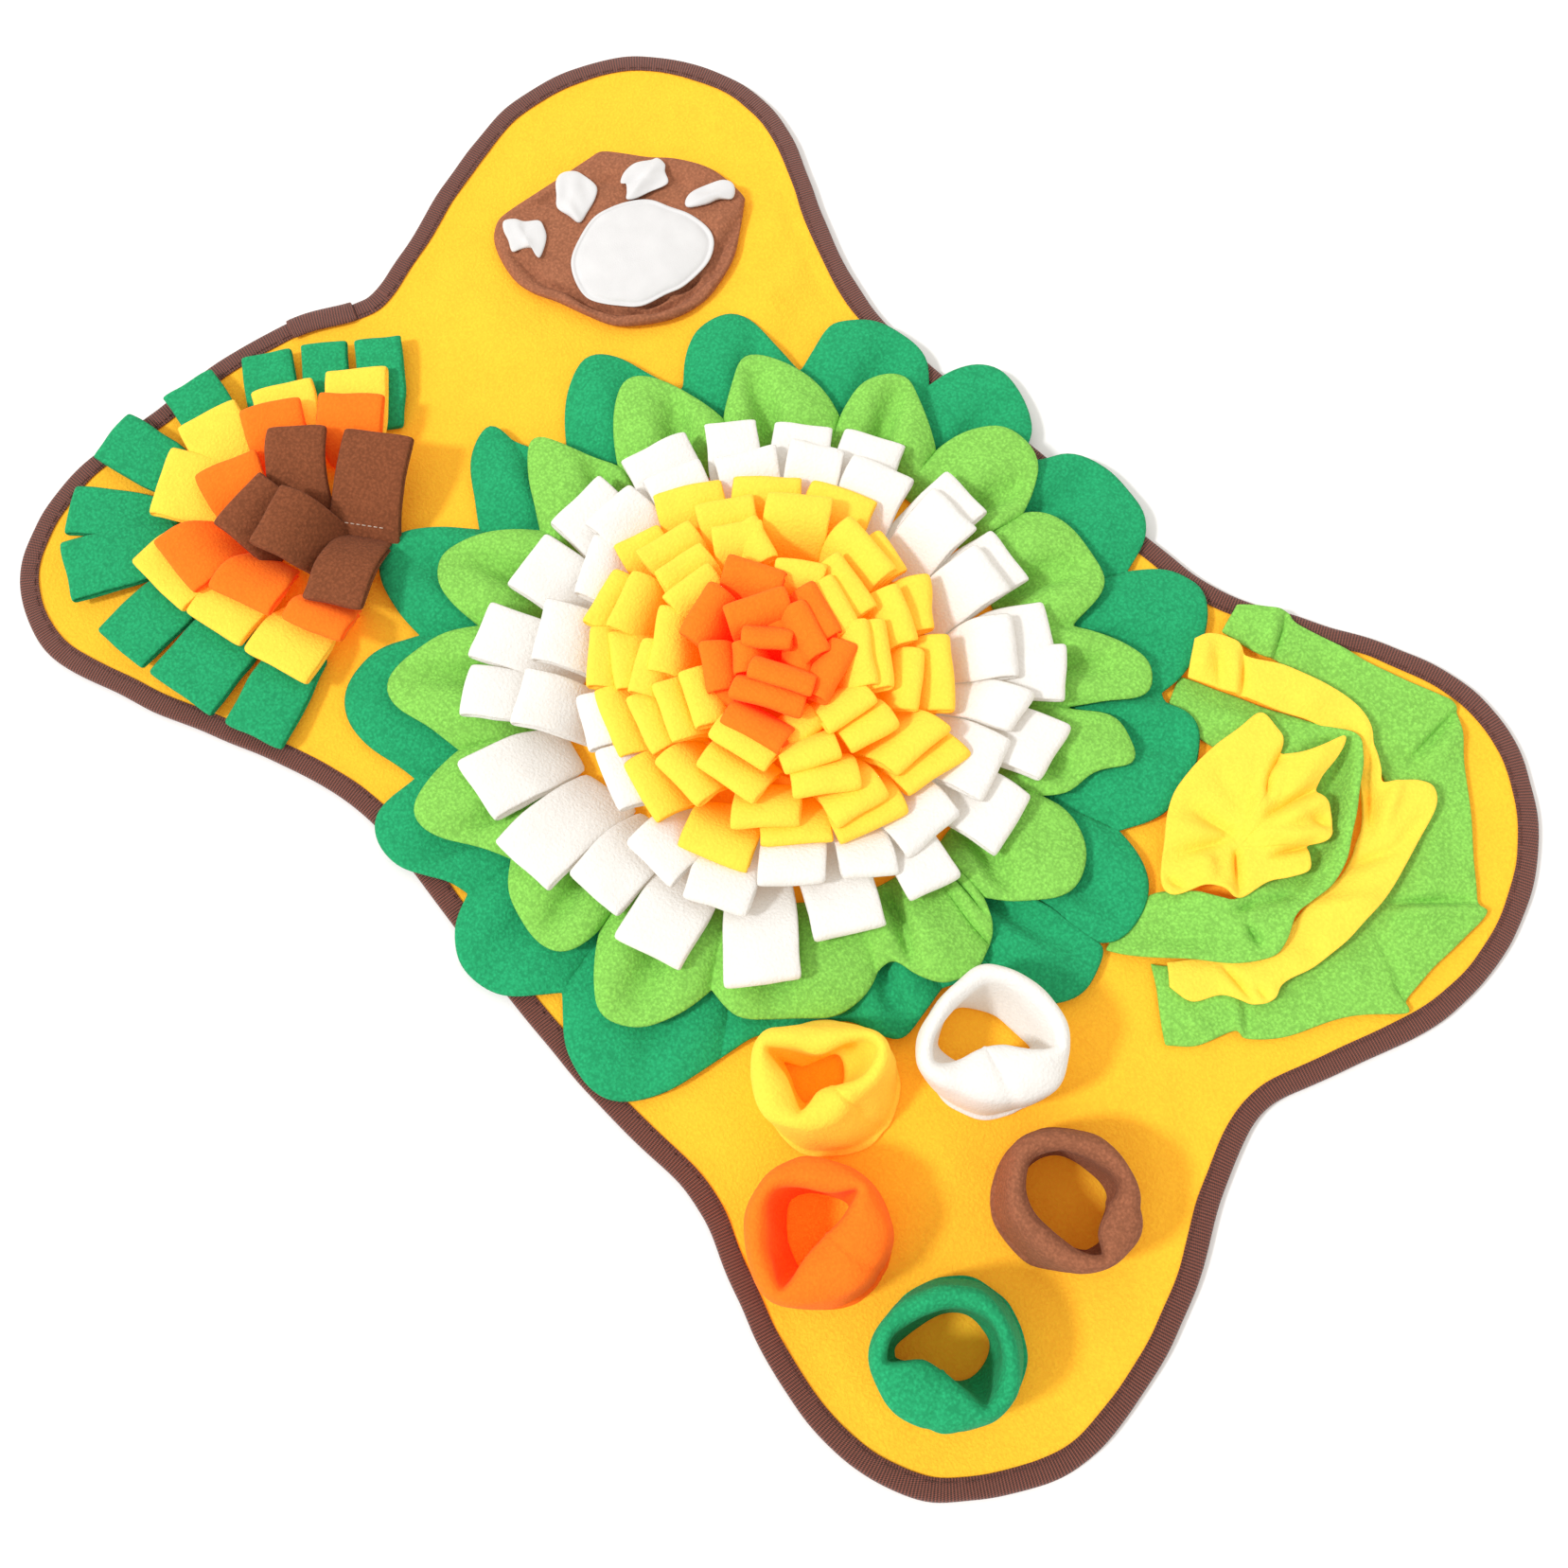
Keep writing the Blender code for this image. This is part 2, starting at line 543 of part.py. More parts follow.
def cup_mouth(cup, bearing):
    """How far the cup's mouth reaches on this bearing from the rim's middle."""
    turn = bearing - radians(cup.mouth_turn)
    oval = cup.mouth_long * cup.mouth_short / hypot(
        cup.mouth_short * cos(turn), cup.mouth_long * sin(turn)
    )
    return oval * (1 + MOUTH_PINCH * sin(3 * turn))


def make_cup(cup):
    """A leaning tube of doubled cloth with a soft rim and a pinched mouth."""
    foot = Vector((cup.foot_x, cup.foot_y, BASE_TOP))
    rim = seen(cup.rim_x, cup.rim_y, CUP_HEIGHT)
    bearings = [2 * pi * side / CUP_SIDES for side in range(CUP_SIDES)]
    sections = []
    for share, out in CUP_OUTSIDE:
        uneven = [out * (1 + CUP_UNEVEN * sin(3 * bearing + cup.mouth_turn)) for bearing in bearings]
        sections.append((share, uneven))
    mouth = [cup_mouth(cup, bearing) for bearing in bearings]
    sections.append((1.0, [(CUP_RIM_TOP + reach) / 2 for reach in mouth]))
    for share, follows in CUP_INSIDE:
        sections.append((share, [CUP_INSIDE_FOOT + (reach - CUP_INSIDE_FOOT) * follows for reach in mouth]))
    rings = []
    for share, reaches in sections:
        middle = foot.lerp(rim, share)
        rings.append([
            middle + Vector((cos(bearing), sin(bearing), 0)) * reach
            for bearing, reach in zip(bearings, reaches)
        ])
    add_object(cup.name, cup.colour, *loft(rings, closed_ends=False))


def main():
    for obj in list(bpy.data.objects):
        bpy.data.objects.remove(obj, do_unlink=True)
    collection = bpy.data.collections.new(TITLE)
    bpy.context.scene.collection.children.link(collection)
    collection.objects.link(bpy.data.objects.new(TITLE + "_origin", None))
    for name in COLOURS:
        make_material(name)

    outline = smooth_loop([Vector((point.x, point.y, 0)) for point in OUTLINE], OUTLINE_STEPS)
    make_base(outline)
    make_binding(outline)
    make_petals("petals_dark_green", "fleece_dark_green", DARK_PETALS, DARK_ROOT, DARK_HEIGHT, DARK_CREASE)
    make_petals("petals_lime", "fleece_lime", LIME_PETALS, LIME_ROOT, LIME_HEIGHT, LIME_CREASE)
    for ring in RINGS:
        make_ring(ring)
    for fan in FANS:
        make_fan(fan)
    make_brown_fan("fan_brown_back", FAN_BROWN_BACK, BROWN_BACK_HEIGHT)
    make_brown_fan("fan_brown_front", FAN_BROWN_FRONT, BROWN_FRONT_HEIGHT)
    make_pleated_band("cabbage_lime_outer", "fleece_lime", CABBAGE_LIME_OUTER)
    make_pleated_band("cabbage_yellow_band", "fleece_yellow", CABBAGE_YELLOW)
    make_pleated_band("cabbage_lime_inner", "fleece_lime", CABBAGE_LIME_INNER)
    make_heart()
    make_pillow("paw_pouch", "fleece_brown", PAW_POUCH, POUCH_LEVELS, 2)
    make_pillow("paw_pad", "fleece_white", PAW_PAD, PAD_LEVELS, 2)
    for number, toe in enumerate(PAW_TOES, 1):
        make_pillow(f"paw_toe_{number}", "fleece_white", toe, TOE_LEVELS, 2)
    for cup in CUPS:
        make_cup(cup)


if __name__ == "__main__":
    main()
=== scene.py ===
"""A bone-shaped fleece snuffle mat, dressed over its fitted solids: a bound base with
a ruffled flower, a corner fan, a pleated cabbage, a padded paw and five soft cups.
Tables are in millimetres, in the layout's own coordinates; meshes are in metres.
"""

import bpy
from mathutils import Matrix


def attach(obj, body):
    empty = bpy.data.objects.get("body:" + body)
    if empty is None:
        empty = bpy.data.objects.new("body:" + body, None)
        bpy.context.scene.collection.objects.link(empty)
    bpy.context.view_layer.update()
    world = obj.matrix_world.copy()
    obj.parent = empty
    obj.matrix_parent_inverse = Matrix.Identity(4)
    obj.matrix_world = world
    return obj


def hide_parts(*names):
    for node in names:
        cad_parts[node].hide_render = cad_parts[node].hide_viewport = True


bl_info = {
    "name": "Snuffle Mat",
    "version": (1, 0, 0),
    "blender": (4, 5, 0),
    "location": "3D View > Sidebar > Snuffle Mat",
    "description": "Sews a fleece snuffle mat from its base, petals, loops, tabs, paw and cups",
    "category": "Object",
}

from collections import namedtuple
from math import atan2, cos, pi, radians, sin

import bmesh
import bpy
import numpy as np
from bpy.props import FloatProperty, FloatVectorProperty, PointerProperty
from mathutils import Matrix, Vector, noise

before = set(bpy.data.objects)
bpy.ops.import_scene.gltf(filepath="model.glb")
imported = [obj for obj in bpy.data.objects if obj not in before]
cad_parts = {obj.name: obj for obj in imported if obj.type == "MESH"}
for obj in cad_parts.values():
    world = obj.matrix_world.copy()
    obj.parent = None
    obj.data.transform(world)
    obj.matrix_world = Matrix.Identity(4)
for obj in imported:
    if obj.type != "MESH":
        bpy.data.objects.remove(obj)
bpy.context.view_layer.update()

MM = 0.001
BODY = "root"

# Where the middle of the mat's box lies in the tables' coordinates.
BOX_MIDDLE = np.array([3.7, 1.0, 0.0])

# Points read off the photograph lie on a level 20 mm up, seen from this eye.
EYE = np.array([236.0, -197.0, 885.0])
READ_LEVEL = 20.0

# Heights and thicknesses. The last three lie that far above BASE_TOP.
BASE_THICK, BASE_TOP, EDGE_LIFT = 3.0, 3.3, 1.3
TAPE_THICK, TAPE_LAYER, TAPE_HEIGHT = 1.0, 0.9, 5.6
CLOTH_CLEAR, TAB_ROOT, LOOP_ROOT = 1.6, 2.6, 3.2

# How uneven each cloth is: the length of its waves, and how far they move it.
NOISE_SEED = 3
TAPE_WAVES = (26.0, 1.1)
PETAL_WAVES = (24.0, 1.6)
TAB_WAVES = (15.0, 1.4)
BAND_WAVES = (22.0, 1.0)
HEART_WAVES = (16.0, 1.0)
CUP_WAVES = (18.0, 1.8)
PILLOW_WAVE = 26.0

Strip = namedtuple("Strip", "name slot petals root height solid seed")
Loop = namedtuple("Loop", "start_x start_y end_x end_y lift", defaults=(0.0,))
Ring = namedtuple("Ring", "name slot height run half_gap arch loops")
Tab = namedtuple("Tab", "start_x start_y end_x end_y run lift", defaults=(0.0,))
Fan = namedtuple("Fan", "name slot height half_gap root_share tabs")
Band = namedtuple("Band", "name slot solid length drop folds creases")
Cup = namedtuple("Cup", "name slot middle foot seam outer lip hole")

# The base's outline, clockwise from the left notch.
OUTLINE = [
    (-371, 16), (-382, 55), (-400, 108), (-411, 165), (-403, 213), (-380, 253), (-343, 279),
    (-300, 290), (-255, 282), (-205, 256), (-150, 232), (-95, 223), (0, 225), (95, 227),
    (150, 231), (200, 252), (245, 273), (290, 285), (330, 280), (368, 255), (397, 215), (410, 165),
    (406, 115), (388, 66), (369, 14), (380, -33), (403, -85), (417, -140), (418, -186),
    (403, -223), (372, -260), (325, -276), (270, -271), (220, -254), (175, -239), (100, -240),
    (0, -232), (-100, -221), (-160, -231), (-215, -252), (-270, -273), (-326, -288), (-372, -275),
    (-400, -240), (-411, -195), (-407, -145), (-404, -85), (-392, -35), (-374, -2),
]
OUTLINE_STEPS = 8
# Where the tape's end laps over its start, and the lap's section: how far in, how high.
LAP = slice(-17, -7)
LAP_SECTION = [
    (0.4, 2.0), (-0.8, 2.4), (-0.9, 4.0), (-0.3, 6.2), (1.6, 6.9), (5.0, 7.0), (9.0, 7.0),
    (12.0, 6.9), (14.2, 6.4),
]
# The base's edge lies level in the tape's fold. Inside it, rings close in to the middle.
BASE_INSETS = (1.3, 5.0, 9.0, 12.8)
BASE_RINGS, BASE_FLAT_INSET, BASE_CREASE_DEPTH = 40, 19.0, 1.7
TAPE_RIPPLE, SEAM_INSET = 0.25, 2.1
# A crease, here and below, is its start's x and y, its end's, its height and its width.
BASE_CREASES = [
    (-150, 205, -215, 130, 2.2, 16), (-185, 228, -150, 120, 1.6, 12),
    (-215, 235, -195, 175, 1.8, 14), (-255, 60, -330, 40, 2.0, 16), (-230, 70, -290, 20, 1.6, 14),
    (-370, 120, -350, 200, 1.4, 18), (-330, 250, -260, 262, 1.6, 16),
    (285, -30, 350, -40, 2.0, 18), (250, -110, 275, -160, 1.8, 16),
    (290, -140, 280, -235, 1.6, 14), (375, -95, 385, -190, 1.6, 18),
    (300, -245, 350, -250, 1.6, 14), (345, -40, 375, -80, 1.8, 16),
    (-290, -240, -240, -262, 1.2, 16),
]

# The flower's petals: points along the rim, from the notch before to the notch after it,
# then how deep its fold is, and where across the petal the fold lies (-1 to 1).
FLOWER = np.array([0.0, 5.0, 0.0])
DARK_PETALS = [
    ([(228, -45), (252, -18), (254, 0), (244, 18), (228, 8)], 5, 0.4),
    ([(228, 8), (247, 22), (249, 45), (240, 62), (226, 70), (208, 73)], 3, -0.2),
    ([(208, 73), (220, 100), (216, 130), (203, 150), (190, 154), (178, 148), (172, 152)], 5, 0.3),
    ([(172, 152), (173, 172), (164, 200), (150, 217), (135, 218), (120, 212), (107, 196)], 5, -0.5),
    ([(107, 196), (100, 220), (85, 233), (55, 238), (32, 230), (24, 215), (14, 206)], 5, 0.2),
    ([(14, 206), (5, 224), (-12, 238), (-33, 243), (-50, 237), (-60, 220), (-63, 205)], 3, -0.2),
    ([(-63, 205), (-75, 216), (-92, 219), (-115, 214), (-132, 200), (-135, 188), (-126, 158)], 4, -0.4),
    ([(-128, 157), (-150, 159), (-172, 161), (-186, 155), (-192, 140), (-190, 122), (-171, 99)], 5, -0.4),
    ([(-171, 96), (-200, 89), (-218, 84), (-229, 72), (-223, 50), (-208, 32), (-190, 18)], 5, -0.5),
    ([(-198, 10), (-222, 0), (-237, 1), (-239, -10), (-228, -28), (-210, -42), (-192, -54)], 4, -0.6),
    ([(-192, -54), (-208, -68), (-224, -88), (-224, -103), (-212, -117), (-190, -123),
      (-167, -125)], 5, -0.1),
    ([(-167, -125), (-178, -150), (-176, -172), (-163, -187), (-142, -192), (-120, -188),
      (-103, -186)], 3, -0.2),
    ([(-103, -186), (-104, -214), (-90, -226), (-72, -228), (-55, -220), (-42, -212), (-31, -210)], 4, 0.3),
    ([(-31, -210), (-22, -228), (-8, -239), (8, -241), (25, -236), (38, -222), (48, -211)], 3, 0.0),
    ([(48, -211), (62, -224), (78, -234), (98, -237), (118, -228), (130, -208), (136, -176)], 3, 0.3),
    ([(136, -176), (138, -168), (143, -152), (152, -138), (160, -127), (166, -118)], 2, 0.0),
    ([(166, -118), (176, -110), (190, -105), (200, -98), (199, -82), (197, -62)], 6, 0.2),
    ([(197, -62), (204, -50), (208, -40), (214, -34), (222, -36), (228, -45)], 3, 0.0),
]
LIME_PETALS = [
    ([(178, -9), (195, 3), (209, 20), (212, 36), (203, 52), (188, 60), (172, 62)], 5, -0.7),
    ([(160, 55), (172, 70), (176, 90), (188, 111), (172, 121), (160, 122), (148, 114)], 4, -0.5),
    ([(136, 108), (150, 124), (167, 146), (160, 157), (148, 163), (128, 158), (108, 149)], 3, 0.2),
    ([(106, 149), (106, 172), (98, 184), (72, 192), (50, 190), (36, 180), (34, 170)], 7, -0.2),
    ([(38, 178), (34, 194), (22, 212), (5, 217), (-12, 213), (-24, 198), (-29, 176)], 6, -0.6),
    ([(-29, 176), (-45, 186), (-62, 194), (-76, 199), (-88, 190), (-92, 172), (-87, 152)], 6, 0.0),
    ([(-87, 152), (-105, 157), (-125, 157), (-146, 150), (-159, 140), (-152, 122), (-137, 100)], 6, 0.2),
    ([(-137, 100), (-165, 97), (-187, 91), (-200, 80), (-195, 65), (-180, 48), (-162, 33)], 6, -0.4),
    ([(-162, 33), (-185, 24), (-205, 17), (-214, 10), (-207, 0), (-190, -13), (-166, -29)], 5, -0.8),
    ([(-166, -29), (-180, -43), (-192, -62), (-195, -80), (-185, -94), (-165, -97), (-147, -96)], 5, -0.1),
    ([(-147, -96), (-158, -118), (-163, -145), (-157, -160), (-142, -164), (-122, -160),
      (-99, -157)], 5, -0.1),
    ([(-99, -157), (-98, -182), (-92, -198), (-82, -203), (-68, -200), (-50, -190), (-29, -179)], 4, 0.4),
    ([(-29, -179), (-14, -194), (2, -200), (20, -201), (32, -197), (38, -185), (37, -172)], 6, 0.1),
    ([(37, -172), (50, -188), (64, -200), (76, -204), (92, -196), (103, -178), (107, -152)], 6, 0.1),
    ([(107, -152), (128, -153), (140, -142), (152, -130), (166, -115), (170, -92), (166, -80)], 5, -0.3),
    ([(166, -80), (168, -70), (182, -66), (196, -60), (201, -52), (205, -42), (200, -26)], 5, -0.4),
    ([(200, -26), (196, -20), (190, -14), (184, -11), (178, -9)], 2, 0.0),
]
PETAL_STRIPS = [
    Strip("dark_green_petals", "fleece_dark_green", DARK_PETALS, 165.0, 10.0, "petals_dark_green", 3.0),
    Strip("lime_petals", "fleece_lime", LIME_PETALS, 140.0, 20.0, "petals_lime", 40.0),
]
PETAL_COLUMNS, PETAL_ROWS = 17, 11
# How a petal is folded and puffed: places and widths are shares of half its width.
FOLD_WIDTH, FOLD_DEPTH, NOTCH_SINK, LEAST_RISE = 0.15, 3.5, 3.4, 0.66
PUFF_PLACE, PUFF_WIDTH, PUFF_RISE, RIM_FLATNESS, RIM_DROOP = 0.45, 1.1, 0.8, 0.45, 2.0

# Every ring of loops: each loop is given by the two corners of its folded edge.
RINGS = [
    Ring("loops_white_outer", "fleece_white", 30, 62, 3.2, 2.4, [
        Loop(168, 13, 159, 53), Loop(156, 63, 147, 100), Loop(134, 108, 112, 134),
        Loop(110, 127, 84, 145), Loop(69, 150, 32, 158), Loop(22, 165, -14, 168),
        Loop(-43, 163, -78, 146), Loop(-83, 141, -112, 120), Loop(-121, 113, -142, 88),
        Loop(-147, 77, -161, 36), Loop(-164, 21, -162, -22), Loop(-159, -28, -152, -67),
        Loop(-150, -81, -135, -114), Loop(-130, -117, -111, -141), Loop(-91, -162, -50, -170),
        Loop(-42, -178, 1, -177), Loop(2, -162, 40, -160), Loop(47, -169, 87, -156),
        Loop(111, -146, 138, -113), Loop(129, -93, 151, -58), Loop(151, -39, 162, -9),
    ]),
    Ring("loops_white_inner", "fleece_white", 37, 46, 3.4, 2.2, [
        Loop(141, 30, 128, 70), Loop(125, 72, 119, 100), Loop(106, 101, 76, 126),
        Loop(66, 138, 32, 145), Loop(25, 152, -11, 155), Loop(-24, 150, -62, 138),
        Loop(-67, 135, -97, 118), Loop(-101, 109, -121, 76), Loop(-129, 70, -142, 36),
        Loop(-146, 29, -147, -8), Loop(-138, -8, -119, -43), Loop(-128, -57, -106, -89),
        Loop(-104, -94, -87, -124), Loop(-71, -86, -41, -104), Loop(-39, -102, -3, -117),
        Loop(13, -127, 50, -127), Loop(57, -127, 92, -109), Loop(83, -93, 110, -64),
        Loop(115, -56, 136, -31), Loop(133, -23, 137, 18),
    ]),
    Ring("loops_yellow_1", "fleece_yellow", 39, 36, 3.2, 2.4, [
        Loop(108, 4, 117, 48), Loop(93, 60, 59, 92), Loop(50, 88, 24, 112),
        Loop(13, 104, -16, 112), Loop(-30, 125, -68, 108), Loop(-73, 105, -104, 76),
        Loop(-108, 69, -131, 33), Loop(-114, 23, -124, -6), Loop(-113, -15, -102, -52),
        Loop(-97, -51, -70, -79), Loop(-66, -77, -25, -95), Loop(-22, -96, 18, -107),
        Loop(34, -108, 74, -92), Loop(69, -75, 97, -44), Loop(100, -44, 115, -2),
    ]),
    Ring("loops_yellow_2", "fleece_yellow", 46, 34, 3.2, 2.6, [
        Loop(95, 8, 99, 52), Loop(78, 44, 55, 75), Loop(48, 77, 15, 94),
        Loop(8, 101, -35, 107), Loop(-50, 108, -82, 84, 4), Loop(-88, 76, -108, 46),
        Loop(-103, 38, -112, 1), Loop(-104, -9, -90, -45), Loop(-87, -46, -56, -67, -4),
        Loop(-50, -67, -13, -80), Loop(-10, -82, 28, -84), Loop(48, -79, 76, -50),
        Loop(92, -38, 101, -3),
    ]),
    Ring("loops_yellow_3", "fleece_yellow", 52, 31, 3.2, 2.8, [
        Loop(68, 0, 76, 32), Loop(58, 46, 24, 73), Loop(16, 76, -25, 85),
        Loop(-48, 58, -76, 68, 2), Loop(-72, 68, -91, 43), Loop(-88, 33, -94, -2),
        Loop(-77, -12, -52, -47), Loop(-45, -51, -10, -67), Loop(8, -67, 49, -60),
        Loop(62, -42, 86, -11), Loop(-69, -34, -52, -63, -3),
    ]),
    Ring("loops_yellow_4", "fleece_yellow", 57, 28, 3.2, 3.0, [
        Loop(50, 0, 57, 34), Loop(50, 40, 17, 66), Loop(18, 60, -17, 72),
        Loop(-23, 74, -48, 57, -1), Loop(-75, 26, -79, -8, -2), Loop(-39, -35, -5, -52),
        Loop(0, -50, 41, -42), Loop(42, -22, 45, 3, -7), Loop(49, -36, 66, -5),
    ]),
    Ring("loops_orange_1", "fleece_orange", 60, 27, 3.4, 3.2, [
        Loop(37, 12, 25, 50), Loop(13, 50, -22, 61), Loop(-36, 54, -70, 38),
        Loop(-66, 18, -56, -18), Loop(-43, -13, -17, -32), Loop(0, -40, 39, -29),
        Loop(-15, -31, 6, -26, -7),
    ]),
    Ring("loops_orange_2", "fleece_orange", 63, 22, 3.2, 3.6, [
        Loop(16, 37, -19, 49), Loop(-32, 47, -50, 12), Loop(-30, 1, -14, -13, -3),
        Loop(-8, -25, 32, -4),
    ]),
    Ring("loops_orange_3", "fleece_orange", 65, 18, 3.0, 4.0, [
        Loop(-9, -8, 27, 9), Loop(-25, 3, -1, 21, -3), Loop(20, 16, 2, 34, -9),
        Loop(-14, 38, -34, 24, -9),
    ]),
]
# A single loop's root is this share of its width. In a ring of this many loops or more,
# a root runs on into the next one's, unless the gap between their tips is wider than this.
ROOT_SHARE, FULL_RING, CUT_GAP = 0.82, 12, 30.0
TAB_ROWS, TAB_COLUMNS, FOLD_ROWS = 8, 6, 4
ROOT_GAP, LOOP_WIDTH = 1.5, 38.0
# How far loops and tabs differ: in height, run, the gap in their fold, and their bow.
LOOP_LIFTS, LOOP_RUNS, LOOP_GAPS, LOOP_BOWS = (-1.2, 1.2), (0.95, 1.05), (0.9, 1.15), (-0.4, 1.6)
TAB_GAPS, TAB_BOWS = (0.9, 1.1), (-0.4, 1.4)
ANY_SEED, FIRST_RING_SEED, FAN_SEED = (0, 90), 11, 5

# The corner fan: each tab is given by the corners of its folded edge and how far back it runs.
FANS = [
    Fan("fan_green", "fleece_dark_green", 10.6, 1.9, 0.8, [
        Tab(-323, 1, -341, -22, 62), Tab(-345, -25, -363, -48, 56), Tab(-366, -53, -384, -80, 58),
        Tab(-391, -97, -397, -131, 60), Tab(-405, -152, -397, -187, 66),
        Tab(-390, -206, -370, -231, 66), Tab(-367, -236, -331, -255, 68, 0.8),
        Tab(-307, -256, -268, -253, 66), Tab(-264, -251, -217, -243, 66),
        Tab(-208, -241, -171, -227, 62),
    ]),
    Fan("fan_yellow", "fleece_yellow", 18.0, 2.2, 0.7, [
        Tab(-313, -20, -338, -49, 52), Tab(-341, -57, -361, -91, 50), Tab(-365, -101, -375, -139, 50),
        Tab(-367, -148, -344, -187, 52), Tab(-327, -214, -279, -213, 50),
        Tab(-278, -212, -237, -203, 52), Tab(-235, -203, -191, -191, 44),
    ]),
    Fan("fan_orange", "fleece_orange", 25.5, 2.2, 0.7, [
        Tab(-300, -34, -330, -62, 40), Tab(-336, -71, -356, -104, 44), Tab(-328, -114, -343, -151, 40),
        Tab(-327, -197, -283, -201, 40), Tab(-281, -192, -240, -179, 36, 1.0),
        Tab(-234, -175, -196, -160, 26, 2.0),
    ]),
    Fan("fan_brown_back", "fleece_brown", 31.0, 1.9, 1.04, [
        Tab(-264, -41, -300, -66, 62), Tab(-309, -73, -335, -100, 52, 0.6),
        Tab(-316, -122, -309, -164, 34, 1.4),
    ]),
    Fan("fan_brown_front", "fleece_brown", 38.0, 1.9, 0.92, [
        Tab(-300, -117, -284, -157, 38), Tab(-235, -157, -203, -137, 52, -8.0),
    ]),
]
FAN_ARCH = 2.8
FAN_SEAM = ((-252, -107), (-229, -91))

